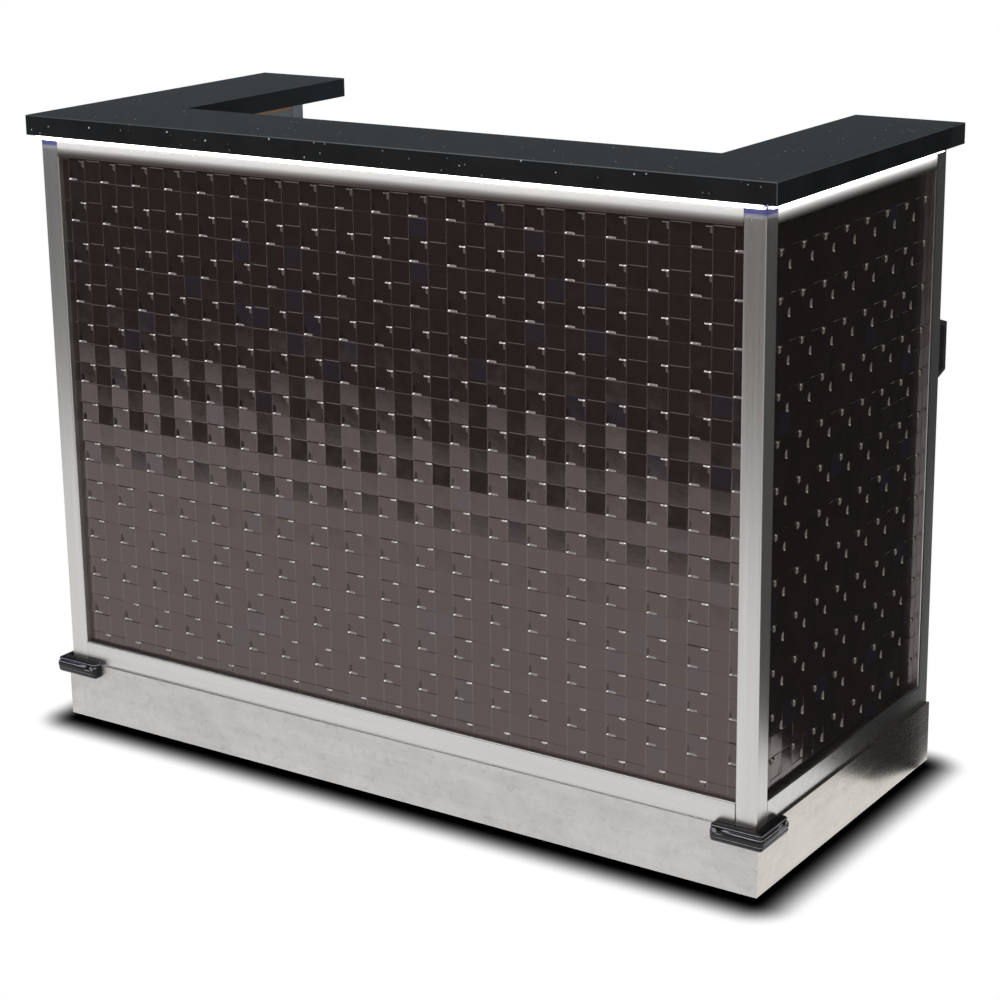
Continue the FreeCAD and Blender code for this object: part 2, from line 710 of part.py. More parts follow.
def make_work_area():
    """Work deck, shelf, their bearers, and the bottle rail on the deck's edge."""
    hole = rectangle(around("bin_x", BIN_HALF_X), around(BIN_Y, BIN_HALF_Y))
    width = mirrored_full(f"{WALL_INNER} - seat_gap")
    run = (f"{WALL_BACK} + seat_gap", WORK_EDGE)
    top = ("work_height - work_sheet", "work_height")
    plate = profile("work_deck_sheet", "XY", [rectangle(width, run), hole], *top)
    lip = box("work_deck_lip", width, (f"{WORK_EDGE} - work_sheet", WORK_EDGE),
              ("work_height - work_lip", "work_height"))
    node(joined("work_deck_fold", [plate, lip]), "work_deck")
    node(box("shelf_board", width, (run[0], SHELF_EDGE), (f"{SHELF_TOP} - shelf_thick", SHELF_TOP)),
         "middle_shelf")

    bearers = []
    for name, top_face, end in (("deck", "(work_height - work_sheet)", f"{WORK_EDGE} - work_lip"),
                                ("shelf", f"({SHELF_TOP} - shelf_thick)", SHELF_EDGE)):
        wall = WALL_INNER
        angle = [(wall, f"{top_face} - bearer_leg"), (wall, top_face),
                 (f"{wall} - bearer_leg", top_face),
                 (f"{wall} - bearer_leg", f"{top_face} - bearer_thick"),
                 (f"{wall} - bearer_thick", f"{top_face} - bearer_thick"),
                 (f"{wall} - bearer_thick", f"{top_face} - bearer_leg")]
        other = [(f"-({x})", z) for x, z in angle]
        ends = (f"{WALL_BACK} + seat_gap", end)
        bearers.append(profile(f"{name}_bearer_right", "XZ", [angle], *ends))
        bearers.append(profile(f"{name}_bearer_left", "XZ", [other], *ends))
    node(group("bearer_set", bearers), "shelf_bearers")

    length = mirrored_full("bottle_rail_length/2")
    far = f"({WORK_EDGE} + bottle_rail_width)"
    low = "(work_height - bottle_rail_drop - bottle_rail_back)"
    front_rise = (low, f"{low} + bottle_rail_front")
    whole = (WORK_EDGE, far)
    end_right = ("bottle_rail_length/2 - liner_thick", "bottle_rail_length/2")
    node(joined("bottle_rail_fold", [
        box("bottle_rail_back_sheet", length, (WORK_EDGE, f"{WORK_EDGE} + liner_thick"),
            (low, f"{low} + bottle_rail_back")),
        box("bottle_rail_floor", length, whole, (low, f"{low} + liner_thick")),
        box("bottle_rail_lip", length, (f"{far} - liner_thick", far), front_rise),
        box("bottle_rail_end_right", end_right, whole, front_rise),
        box("bottle_rail_end_left", mirrored(end_right), whole, front_rise)]), "bottle_rail")


def make_ice_bin():
    """An insulated bin welded from five sheets, its sliding cover, guides and drain."""
    outer_x = around("bin_x", f"{BIN_HALF_X} - seat_gap")
    outer_y = around(BIN_Y, f"{BIN_HALF_Y} - seat_gap")
    inner_x = around("bin_x", f"{BIN_HALF_X} - seat_gap - bin_sheet")
    inner_y = around(BIN_Y, f"{BIN_HALF_Y} - seat_gap - bin_sheet")
    flange_x = around("bin_x", f"{BIN_HALF_X} + bin_flange")
    flange_y = around(BIN_Y, f"{BIN_HALF_Y} + bin_flange")
    flange_top = "(work_height + bin_sheet)"
    wall_rise = (f"{BIN_FLOOR} + bin_sheet", flange_top)
    sheets = [profile("ice_bin_floor", "XY", [rectangle(outer_x, outer_y), {
        "centre": ("bin_x", BIN_Y), "radius": "drain_radius + seat_gap"}], BIN_FLOOR, wall_rise[0])]
    for name, wall_x, wall_y, flange_sides in (
            ("left", (outer_x[0], inner_x[0]), outer_y, ((flange_x[0], inner_x[0]), flange_y)),
            ("right", (inner_x[1], outer_x[1]), outer_y, ((inner_x[1], flange_x[1]), flange_y)),
            ("near", inner_x, (outer_y[0], inner_y[0]), (inner_x, (flange_y[0], inner_y[0]))),
            ("far", inner_x, (inner_y[1], outer_y[1]), (inner_x, (inner_y[1], flange_y[1])))):
        sheets.append(joined(f"ice_bin_{name}", [
            box(f"ice_bin_{name}_wall", wall_x, wall_y, wall_rise),
            box(f"ice_bin_{name}_flange", *flange_sides, ("work_height", flange_top))]))
    node(group("ice_bin_sheets", sheets), "ice_bin_liner")

    foam_x = around("bin_x", f"{BIN_HALF_X} + foam_thick")
    foam_y = around(BIN_Y, f"{BIN_HALF_Y} + foam_thick")
    rise = (f"{BIN_FLOOR} - seat_gap", "work_height - work_sheet")
    floor = (f"{rise[0]} - foam_thick", rise[0])
    side_x = around("bin_x", BIN_HALF_X)
    side_y = around(BIN_Y, BIN_HALF_Y)
    bottom = profile("foam_bottom", "XY", [rectangle(foam_x, foam_y), {
        "centre": ("bin_x", BIN_Y), "radius": "drain_radius + seat_gap"}], *floor)
    node(group("foam_set", [
        box("foam_left", (foam_x[0], side_x[0]), foam_y, rise),
        box("foam_right", (side_x[1], foam_x[1]), foam_y, rise),
        box("foam_near", side_x, (foam_y[0], side_y[0]), rise),
        box("foam_far", side_x, (side_y[1], foam_y[1]), rise), bottom]), "ice_bin_foam")

    guides = []
    ledge = f"({BIN_HALF_Y} + bin_flange + guide_ledge)"
    guide_run = (f"bin_x - {BIN_HALF_X} - bin_flange",
                 f"bin_x + {BIN_HALF_X} + bin_flange + cover_travel")
    base = f"({BIN_HALF_Y} + bin_flange + seat_gap)"
    step = "(work_height + guide_ledge_high)"
    high = "(work_height + guide_high)"
    for name, sign in (("far", "+"), ("near", "-")):
        outline = [(f"{BIN_Y} {sign} {y}", z) for y, z in (
            (base, "work_height"), (f"({ledge} + guide_wall)", "work_height"),
            (f"({ledge} + guide_wall)", high), (ledge, high), (ledge, step), (base, step))]
        guides.append(profile(f"guide_{name}", "YZ", [outline], *guide_run))
    node(group("guide_pair", guides), "cover_guides")

    cover_low = f"({step} + seat_gap)"
    cover_top = f"({cover_low} + cover_sheet)"
    lid = box("cover_sheet_metal", around("bin_x", f"{BIN_HALF_X} + bin_flange"),
              around(BIN_Y, f"{ledge} - rocker_play"), (cover_low, cover_top))
    knob = rod("cover_knob", "Z", ("bin_x", BIN_Y, cover_top), "knob_radius", "knob_high")
    node(joined("cover_and_knob", [lid, knob]), "ice_bin_cover")

    drain_low = f"({BIN_FLOOR} - foam_thick - drain_drop)"
    pipe_top = f"({BIN_FLOOR} + bin_sheet)"
    valve_z = f"({drain_low} + valve_centre)"
    stem_at = ("bin_x", f"{BIN_Y} + valve_radius", valve_z)
    outside = joined("drain_outside", [
        rod("drain_pipe", "Z", ("bin_x", BIN_Y, drain_low), "drain_radius",
            f"{pipe_top} - {drain_low}"),
        rod("drain_valve_barrel", "Y", ("bin_x", f"{BIN_Y} - valve_radius", valve_z),
            "valve_radius", "2*valve_radius"),
        rod("drain_stem", "Y", stem_at, "stem_radius", "stem_length")])
    bore = rod("drain_through", "Z", ("bin_x", BIN_Y, f"{drain_low} - bin_sheet"), "drain_bore",
               f"{pipe_top} - {drain_low} + 2*bin_sheet")
    node(cut("drain_valve_body", outside, bore), "drain_valve")
    plate_low = f"({BIN_Y} + valve_radius + swivel_gap)"
    lever = profile("lever_plate", "XZ", [
        rectangle(("bin_x - lever_width/2", "bin_x + lever_length"),
                  (f"{valve_z} - lever_width/2", f"{valve_z} + lever_width/2")),
        {"centre": ("bin_x", valve_z), "radius": "stem_radius + run_gap"}],
        plate_low, f"{plate_low} + lever_thick",
        [("lever_round", lambda edge, bounds: corner(edge, bounds, "y"))])
    node(lever, "drain_lever")


def make_electrics():
    """A light switch with its rocker, and a power inlet, on the right inner wall."""
    wall = WALL_INNER
    face = f"({wall} - switch_deep)"
    middle_y = f"({BACK} - switch_y_back - switch_width/2)"
    middle_z = "(switch_low + switch_high/2)"
    pivot_x = f"({face} + rocker_sink)"
    reach = "(sqrt(rocker_radius^2 + rocker_rise^2) + rocker_play)"
    room_y = around(middle_y, "rocker_width/2 + rocker_play")
    case = cut("switch_case", box("switch_block", (face, wall), around(middle_y, "switch_width/2"),
                                  ("switch_low", "switch_low + switch_high")),
               box("switch_room", (f"{face} - rocker_play",
                                   f"{pivot_x} + rocker_radius + rocker_play"),
                   room_y, around(middle_z, reach)))
    pin = rod("switch_pin", "Y", (pivot_x, room_y[0], middle_z), "rocker_pin",
              "rocker_width + 2*rocker_play")
    node(joined("switch_case_and_pin", [case, pin]), "switch_housing")

    rocker = doc.addObject("PartDesign::Body", "rocker_body")
    # Own frame: the pivot is the origin, and -X faces the room.
    angles = [90 - 180*turn/ROCKER_FACETS for turn in range(ROCKER_FACETS + 1)]
    rounded = [(f"rocker_radius*cos({angle})", f"rocker_radius*sin({angle})") for angle in angles]
    crown = [("-rocker_rise", "-rocker_radius"), ("-rocker_rise/2", "0"),
             ("-rocker_rise", "rocker_radius")]
    sketch = draw(rocker, "rocker_outline", "XZ", "-rocker_width/2",
                  [rounded + crown, {"centre": ("0", "0"), "radius": "rocker_pin + run_gap"}])
    pad = rocker.newObject("PartDesign::Pad", "rocker_pad")
    pad.Profile = sketch
    pad.Reversed = True
    bind(pad, "Length", "rocker_width")
    rocker.Placement.Rotation = FreeCAD.Rotation(V(0, 1, 0), SIZES["rocker_tilt"])
    put(rocker, pivot_x, middle_y, middle_z)
    bind(rocker, "Placement.Rotation.Angle", "rocker_tilt")
    node(rocker, "switch_rocker")

    inlet_y = (f"{BACK} - post_size - inlet_deep", f"{BACK} - post_size")
    inlet_x = (f"{wall} - inlet_width", wall)
    mid_x = f"({wall} - inlet_width/2)"
    mid_z = "(inlet_low + inlet_high/2)"
    socket = box("inlet_socket", around(mid_x, "socket_width/2"),
                 (f"{inlet_y[1]} - socket_deep", f"{inlet_y[1]} + socket_deep"),
                 around(mid_z, "socket_high/2"))
    block = cut("inlet_case", box("inlet_block", inlet_x, inlet_y,
                                  ("inlet_low", "inlet_low + inlet_high")), socket)
    root = f"({inlet_y[1]} - socket_deep)"
    pins = [box(f"inlet_pin_{index + 2}", around(f"({mid_x} + {index}*pin_pitch)", "pin_high/2"),
                (root, f"{root} + pin_long"), around(f"({mid_z} + {lift}*pin_wide)", "pin_wide/2"))
            for index, lift in ((-1, 0), (0, 1), (1, 0))]
    node(joined("inlet_case_and_pins", [block] + pins), "power_inlet")


def make_caster(side, x, depth, y, braked):
    """One swivel caster: plate with king pin, fork with axle, hub, tyre, and a pedal."""
    tag = f"{depth}_{side}"
    wheel_y = f"({y} + trail)"
    half_gap = "(wheel_width/2 + fork_play)"
    half_fork = f"({half_gap} + fork_leg)"
    plate_low = "(caster_height - plate_thick)"
    crown_top = f"({plate_low} - swivel_gap)"
    crown_low = f"({crown_top} - crown_thick)"

    holes = [{"centre": (f"{x} + {a}*plate_bolt_x/2", f"{y} + {b}*plate_bolt_y/2"),
              "radius": "plate_bolt_radius"} for a in (-1, 1) for b in (-1, 1)]
    plate = profile(f"caster_plate_{tag}", "XY", [
        rectangle(around(x, "plate_x/2"), around(y, "plate_y/2"))] + holes, plate_low, "caster_height",
        [("plate_bolt_radius", lambda edge, bounds: corner(edge, bounds, "z"))])
    pin = rod(f"king_pin_{tag}", "Z", (x, y, f"{crown_low} + fork_leg"), "king_pin",
              f"{plate_low} - {crown_low} - fork_leg")
    plate_and_pin = joined(f"caster_top_{tag}", [plate, pin])

    far = "(pedal_pivot_y + pedal_lug)" if braked else "fork_far"
    outline = [(f"{y} - fork_near", crown_top), (f"{y} - fork_near", f"{crown_low} - fork_leg"),
               (f"{wheel_y} - fork_foot", "wheel_radius + fork_foot/2"),
               (f"{wheel_y} - fork_foot*fork_foot_share", "wheel_radius - fork_foot"),
               (f"{wheel_y} + fork_foot*fork_foot_share", "wheel_radius - fork_foot"),
               (f"{wheel_y} + fork_foot", "wheel_radius + fork_foot/2"),
               (f"{y} + {far}", f"{crown_low} - fork_leg"), (f"{y} + {far}", crown_top)]
    bore = {"centre": (wheel_y, "wheel_radius"), "radius": "axle_radius + run_gap"}
    loops = [outline, bore]
    if braked:
        loops.append({"centre": (f"{y} + pedal_pivot_y", "pedal_pivot_z"),
                      "radius": "pedal_pin + run_gap"})
    cheeks = profile(f"fork_cheeks_{tag}", "YZ", loops, f"{x} - {half_fork}", f"{x} + {half_fork}")
    rear = f"{wheel_y} + wheel_radius"
    rooms = [box(f"fork_room_{tag}", around(x, half_gap), (f"{y} - 2*fork_near", rear),
                 ("wheel_radius - 2*fork_foot", crown_low)),
             box(f"fork_back_{tag}", around(x, half_gap), (f"{y} + fork_far", rear),
                 ("wheel_radius", "caster_height"))]
    well = rod(f"fork_well_{tag}", "Z", (x, y, f"{crown_low} - fork_leg"), "king_pin + run_gap",
               "crown_thick + 2*fork_leg")
    fork = cut(f"fork_open_{tag}", cheeks, joined(f"fork_tools_{tag}", rooms + [well]))
    axle = joined(f"axle_{tag}", [
        rod(f"axle_shaft_{tag}", "X", (f"{x} - {half_fork} - swivel_gap", wheel_y, "wheel_radius"),
            "axle_radius", f"2*{half_fork} + 2*swivel_gap"),
        rod(f"axle_head_{tag}", "X", (f"{x} + {half_fork}", wheel_y, "wheel_radius"), "axle_head",
            "axle_head_high"),
        rod(f"axle_nut_{tag}", "X", (f"{x} - {half_fork} - axle_head_high", wheel_y, "wheel_radius"),
            "axle_head", "axle_head_high")])
    node(group(f"fork_set_{tag}", [fork, axle]), f"caster_fork_{tag}")

    # Hub and tyre turn round X, so each is drawn in X and radius about its own origin.
    rim = "(hub_radius - hub_rim)"
    hub_half = f"({half_gap} - swivel_gap)"
    hub = [(f"-{hub_half}", "axle_radius + run_gap"), (hub_half, "axle_radius + run_gap"),
           (hub_half, "hub_boss"), ("hub_web/2", "hub_boss + hub_rim/2"), ("hub_web/2", rim),
           ("wheel_width/2", rim), ("wheel_width/2", "hub_radius"), ("-wheel_width/2", "hub_radius"),
           ("-wheel_width/2", rim), ("-hub_web/2", rim), ("-hub_web/2", "hub_boss + hub_rim/2"),
           (f"-{hub_half}", "hub_boss")]
    tyre = [("-wheel_width/2", "hub_radius"), ("wheel_width/2", "hub_radius"),
            ("wheel_width/2", "wheel_radius"), ("-wheel_width/2", "wheel_radius")]
    for name, outline, soft in ((f"wheel_hub_{tag}", hub, None), (f"wheel_tyre_{tag}", tyre, "tyre_round")):
        body = doc.addObject("PartDesign::Body", name)
        sketch = draw(body, name + "_outline", "XZ", "0", [outline])
        turned = body.newObject("PartDesign::Revolution", name + "_turned")
        turned.Profile = sketch
        turned.ReferenceAxis = (sketch, ["H_Axis"])
        turned.Angle = 360
        if soft:
            soften(body, name + "_round", soft, lambda edge, bounds: any(
                at_side(edge, bounds, "x", limit) for limit in ("Min", "Max"))
                and isinstance(edge.Curve, Part.Circle)
                and edge.Curve.Radius > bounds.ZLength/2 - TOUCH)
        put(body, x, wheel_y, "wheel_radius")
        node(body, name)

    if braked:
        pivot_y = f"({y} + pedal_pivot_y)"
        half_pedal = "(pedal_width/2)"
        arm = profile(f"pedal_arm_{tag}", "YZ", [[
            (f"{pivot_y} - pedal_thick", "pedal_pivot_z - pedal_thick"),
            (f"{y} + shoe_near", "pedal_pivot_z - pedal_thick"), (f"{y} + shoe_near", "shoe_low"),
            (f"{y} + shoe_far", "shoe_low"), (f"{y} + shoe_far", "pedal_pivot_z - pedal_thick"),
            (f"{y} + pedal_reach", "pedal_pivot_z - pedal_thick"),
            (f"{y} + pedal_reach", "pedal_pivot_z"),
            (f"{pivot_y} + pedal_thick", "pedal_pivot_z + pedal_thick"),
            (f"{pivot_y} - pedal_thick", "pedal_pivot_z + pedal_thick")]],
            f"{x} - {half_pedal}", f"{x} + {half_pedal}")
        pivot = rod(f"pedal_pin_{tag}", "X", (f"{x} - {half_fork}", pivot_y, "pedal_pivot_z"),
                    "pedal_pin", f"2*{half_fork}")
        node(joined(f"pedal_and_pin_{tag}", [arm, pivot]), f"brake_pedal_{side}")
    return plate_and_pin


def make_casters():
    plates = []
    for depth, y, braked in (("front", f"({FRONT} + caster_inset_front)", False),
                             ("rear", f"({BACK} - caster_inset_back)", True)):
        for side, sign in (("left", "-"), ("right", "")):
            x = f"({sign}({HALF} - caster_inset_x))"
            plates.append(make_caster(side, x, depth, y, braked))
    node(group("caster_plate_set", plates), "caster_plates")


def check():
    """Stop if any object failed or any sub-part is empty or broken."""
    doc.recompute()
    for thing in doc.Objects:
        if "Invalid" in thing.State or "Error" in thing.State:
            raise RuntimeError(f"{thing.Label} failed: {thing.State}")
    for piece in NODES:
        if piece.Shape.isNull() or not piece.Shape.isValid() or not piece.Shape.Solids:
            raise RuntimeError(f"{piece.Label} has no valid solid")


make_counter()
make_frame()
make_walls()
make_base()
make_trim()
make_lights()
make_work_area()
make_ice_bin()
make_electrics()
make_casters()
check()

os.makedirs("parts", exist_ok=True)
for piece in NODES:
    piece.Shape.exportStep(f"parts/{piece.Label}.step")
print(len(NODES), "nodes,", sum(len(piece.Shape.Solids) for piece in NODES), "solids")
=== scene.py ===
"""Looks of the portable bar: stage, camera, materials, and the pieces modelled as meshes.

Metres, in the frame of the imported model: +X to the right seen by the guests, +Y towards the
staff, +Z up, origin on the floor under the middle of the bar.
"""
import math
import random

import bmesh
import bpy
from mathutils import Matrix, Vector


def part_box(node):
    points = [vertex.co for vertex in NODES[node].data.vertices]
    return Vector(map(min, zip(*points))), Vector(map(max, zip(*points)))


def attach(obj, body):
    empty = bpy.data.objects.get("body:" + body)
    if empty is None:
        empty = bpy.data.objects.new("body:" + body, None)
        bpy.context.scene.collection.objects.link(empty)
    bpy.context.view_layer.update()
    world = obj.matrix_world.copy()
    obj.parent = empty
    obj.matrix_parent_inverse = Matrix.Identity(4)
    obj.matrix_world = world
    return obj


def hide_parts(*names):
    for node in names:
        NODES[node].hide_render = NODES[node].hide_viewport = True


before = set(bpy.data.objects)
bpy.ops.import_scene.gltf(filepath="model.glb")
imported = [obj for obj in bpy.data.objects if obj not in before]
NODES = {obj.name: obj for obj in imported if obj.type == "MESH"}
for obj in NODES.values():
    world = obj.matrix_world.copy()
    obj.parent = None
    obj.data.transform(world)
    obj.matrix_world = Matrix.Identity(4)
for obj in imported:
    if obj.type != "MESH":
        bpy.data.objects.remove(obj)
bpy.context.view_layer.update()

MM = 0.001
BODY = "cabinet"

# Camera, from the photograph's edges: turned round Z from the guests' side, then raised
CAMERA_PLACE = Vector((2.3888, -3.5427, 1.7852))
CAMERA_AZIMUTH = math.radians(34.867)
CAMERA_ELEVATION = math.radians(15.325)
CAMERA_ROLL = math.radians(-1.036)
CAMERA_LENS = 87.12  # mm
CAMERA_SENSOR = 36  # mm
CAMERA_SHIFT = (0.0489, -0.0737)

# Tiles
TILE = 38.1 * MM
LIFT = 3.2 * MM  # how far a woven tile's corner stands out of the panel's face
LIFT_FLANK = 1.8 * MM  # width of the glossy flank there
# How far the tile's other corner lies behind the face, and the width of its glossy flank: on the
# front, and on the sides, where the tiles lie turned
SINKS = {False: 4.2 * MM, True: 2.2 * MM}
SINK_FLANKS = {False: 2.2 * MM, True: 3.4 * MM}
SIDE_FLANK = 2.3 * MM  # width of a woven tile's other two flanks
CHAMFER = 0.9 * MM  # width of the slope round each tile
GROOVE = 0.25 * MM  # how far the joints between the tiles lie behind the panel's face
SLIVER = 2.5 * CHAMFER  # a tile that the panel's edge cuts narrower than this is left out
LEAST_CELL = 0.3 * MM  # least distance of a woven tile's lines from the chamfer of a cut side
FACE_STEPS = 10  # cells between the flanks of a woven tile
# How far each tile of a group of four leans forward, by its column and row in the group, and how
# much the leans sideways and forward differ from tile to tile
LEANS = {(0, 0): -0.008, (0, 1): 0.022, (1, 0): -0.055, (1, 1): -0.018}
LEAN_SPREAD = (0.003, 0.0035)
# Where the raised and the sunk corner of a woven tile start to bend, on the front and on the sides,
# and how long the bend is: the ways across and up from the tile's middle, added, in half tiles, so
# that a corner is at 2
BENDS = {False: (1.1, 0.8), True: (1.15, 0.95)}
BEND_WIDTH = 0.22
BARE_FROM = 0.7 * MM  # a flank is bare where it is this far off the panel's face
# Left and top side of one woven tile in front and on the right, read from the photograph
WOVEN_FRONT = (-0.6886, 1.1)
WOVEN_RIGHT = (-0.2752, 1.0619)
# The finishes of a panel, by their place in its list. The bars and glints of the woven tiles' flanks
# are painted highlights, the dim bars weaker painted highlights.
FACE, BAR, BACK, PAINTED_DIM_BAR, RIM, GLINT = range(6)

# Materials
# The stone's arrises get a painted highlight: a lighter bluish grey in their colour
ARRIS = 0.975  # the stone's surface is an arris where no part of its normal is over this
BLUISH_LOT = 0.94  # a tile whose lot, from 0 to 1, is over this looks bluish
LIGHT_STRENGTH = 6.0
PLY = 1.5 * MM  # thickness of one layer of plywood
SIDE_WALL = 651 * MM  # the timber further than this from the middle plane is in the side walls
PIN_DEEP = 17.8 * MM  # how deep in the power inlet's socket its contacts start
PIN_REACH = ((0, 9.5 * MM), (2, 7 * MM))  # how far from the socket's middle they go, X and Z


# Helpers for shader nodes

def add(tree, kind, settings=None, **inputs):
    """Add a node, set its properties and fill its inputs with values or other nodes' outputs."""
    node = tree.nodes.new(kind)
    for key, value in (settings or {}).items():
        setattr(node, key, value)
    for name, value in inputs.items():
        plug(tree, node.inputs[name.replace("_", " ")], value)
    return node


def plug(tree, socket, value):
    """Link another node's output to a socket, or set the socket's own value."""
    if isinstance(value, bpy.types.NodeSocket):
        tree.links.new(value, socket)
    else:
        socket.default_value = value


def maths(tree, operation, first, second=0.0):
    """The output of a maths node; first and second are values or other nodes' outputs."""
    node = tree.nodes.new("ShaderNodeMath")
    node.operation = operation
    plug(tree, node.inputs[0], first)
    plug(tree, node.inputs[1], second)
    return node.outputs[0]


def place(tree, stretch=(1, 1, 1)):
    """The point on the object, in metres, stretched along its axes."""
    spot = add(tree, "ShaderNodeTexCoord").outputs["Object"]
    return add(tree, "ShaderNodeMapping", Vector=spot, Scale=stretch).outputs[0]


def coordinates(tree):
    """The point's X, Y and Z."""
    return add(tree, "ShaderNodeSeparateXYZ", Vector=place(tree)).outputs


def facing(tree):
    """X, Y and Z of the direction that the surface faces."""
    normal = add(tree, "ShaderNodeNewGeometry").outputs["Normal"]
    return add(tree, "ShaderNodeSeparateXYZ", Vector=normal).outputs


def noise(tree, stretch, detail=3.0, roughness=0.5, distortion=0.0):
    """Noise between 0 and 1, with so many features a metre along each axis."""
    return add(tree, "ShaderNodeTexNoise", Vector=place(tree, stretch), Scale=1.0, Detail=detail,
               Roughness=roughness, Distortion=distortion).outputs[0]


def ranged(tree, value, low, high, start=0.3, end=0.7):
    """low up to start, high from end on, and evenly between them."""
    return add(tree, "ShaderNodeMapRange", Value=value, From_Min=start, From_Max=end, To_Min=low,
               To_Max=high).outputs[0]


def mixed(tree, factor, first, second):
    """Two colours mixed by a factor."""
    node = add(tree, "ShaderNodeMix", {"data_type": "RGBA"})
    plug(tree, node.inputs[0], factor)
    for index, colour in ((6, first), (7, second)):
        plug(tree, node.inputs[index],
             colour if isinstance(colour, bpy.types.NodeSocket) else (*colour, 1))
    return node.outputs[2]


def rounded(tree, radius):
    """The normal with its sharp edges rounded."""
    return add(tree, "ShaderNodeBevel", {"samples": 4}, Radius=radius).outputs[0]


def bumped(tree, height, distance, normal=None):
    """The normal, or a rounded one, with fine relief this many metres deep."""
    node = add(tree, "ShaderNodeBump", Height=height, Distance=distance)
    if normal:
        plug(tree, node.inputs["Normal"], normal)
    return node.outputs[0]


def material(name, colour, roughness, metallic=0.0, **more):
    """A new material, its tree and its shader. more gives other sockets of the shader a value."""
    made = bpy.data.materials.new(name)
    made.use_nodes = True
    tree = made.node_tree
    shader = tree.nodes["Principled BSDF"]
    values = {"Base_Color": (*colour, 1), "Roughness": roughness, "Metallic": metallic, **more}
    for socket, value in values.items():
        shader.inputs[socket.replace("_", " ")].default_value = value
    return made, tree, shader


def bare_material(name):
    """A new material without a shader, its tree, and the socket for its surface."""
    made = bpy.data.materials.new(name)
    made.use_nodes = True
    tree = made.node_tree
    tree.nodes.clear()
    return made, tree, add(tree, "ShaderNodeOutputMaterial").inputs["Surface"]


def link(tree, shader, **sockets):
    """Link outputs to the shader's sockets."""
    for name, value in sockets.items():
        tree.links.new(value, shader.inputs[name.replace("_", " ")])


def toned(colour, factor):
    """The same colour, darker or lighter by a factor."""
    return tuple(channel * factor for channel in colour)


# Materials

def stone():
    """Polished black stone: cloudy and finely grained, with sparse flecks, and its arrises painted
    paler as a highlight.
    """
    made, tree, shader = material("black_stone", (0.010, 0.011, 0.0125), 0.16)
    cloud = ranged(tree, noise(tree, (14, 14, 14), 5), 0, 1)
    grain = ranged(tree, noise(tree, (900, 900, 900), 2), 0, 1)
    base = mixed(tree, cloud, (0.0045, 0.0052, 0.0058), (0.0095, 0.0105, 0.0115))
    base = mixed(tree, maths(tree, "MULTIPLY", grain, 0.35), base, (0.015, 0.0165, 0.018))
    cells = add(tree, "ShaderNodeTexVoronoi", {"feature": "F1"}, Vector=place(tree), Scale=92.0)
    size = add(tree, "ShaderNodeSeparateColor", Color=cells.outputs["Color"])
    reach = ranged(tree, size.outputs[0], 0.0, 0.16, 0.5, 1.0)
    fleck = maths(tree, "LESS_THAN", cells.outputs["Distance"], reach)
    tint = mixed(tree, size.outputs[1], (0.16, 0.19, 0.21), (0.6, 0.66, 0.68))
    direction = facing(tree)
    most = maths(tree, "ABSOLUTE", direction[0])
    for axis in (1, 2):
        most = maths(tree, "MAXIMUM", most, maths(tree, "ABSOLUTE", direction[axis]))
    # Painted highlight: the arrises are painted a lighter bluish grey
    arris_highlight = maths(tree, "LESS_THAN", most, ARRIS)
    base = mixed(tree, arris_highlight, base, (0.05, 0.062, 0.07))
    link(tree, shader, Base_Color=mixed(tree, fleck, base, tint),
         Roughness=ranged(tree, grain, 0.13, 0.2, 0, 1),
         Metallic=maths(tree, "MULTIPLY", fleck, 0.35),
         Normal=bumped(tree, grain, 0.00001, rounded(tree, 1.2 * MM)))
    return made


def stainless(name, along, colour=(0.66, 0.645, 0.63), rough=(0.24, 0.36), stains=0.0, metallic=1.0,
              lit=None, glowing_power=1.0):
    """Brushed steel with its streaks along an axis (0, 1 or 2). lit paints the light line's glow into
    its colour: the height where the painted glow starts, the one where it is full, and its colour;
    glowing_power says how late the painted glow rises between them."""
    made, tree, shader = material(name, colour, rough[0], metallic)
    stretch = [1100, 1100, 1100]
    stretch[along] = 5
    streak = ranged(tree, noise(tree, stretch, 3, 0.6), 0, 1)
    broad = [90, 90, 90]
    broad[along] = 1.5
    band = ranged(tree, noise(tree, broad, 2), 0, 1)
    base = mixed(tree, streak, toned(colour, 0.93), toned(colour, 1.03))
    base = mixed(tree, maths(tree, "MULTIPLY", band, 0.3), base, toned(colour, 0.86))
    mean = sum(rough) / 2
    gloss = maths(tree, "ADD", ranged(tree, streak, mean - 0.02, mean + 0.02, 0, 1),
                  ranged(tree, band, -0.03, 0.03, 0, 1))
    if stains:
        smear = ranged(tree, noise(tree, (7, 7, 11), 6, 0.6, 1.6), 0, 1, 0.42, 0.72)
        swirl = ranged(tree, noise(tree, (30, 30, 42), 4, 0.65, 2.5), 0, 1, 0.5, 0.7)
        mark = maths(tree, "MULTIPLY", maths(tree, "ADD", smear, swirl), 0.5 * stains)
        base = mixed(tree, mark, base, toned(colour, 0.62))
        gloss = maths(tree, "ADD", gloss, maths(tree, "MULTIPLY", mark, 0.16))
    if lit:
        # Painted glow: higher up the colour turns to the glow's colour and the steel less metallic
        start, full, glow_colour = lit
        height = coordinates(tree)[2]
        painted_glow = maths(tree, "POWER", ranged(tree, height, 0, 1, start, full), glowing_power)
        base = mixed(tree, painted_glow, base, glow_colour)
        link(tree, shader, Metallic=ranged(tree, painted_glow, metallic, 0.2 * metallic, 0, 1))
    link(tree, shader, Base_Color=base, Roughness=gloss,
         Normal=bumped(tree, streak, 0.000003, rounded(tree, 1.1 * MM)))
    return made


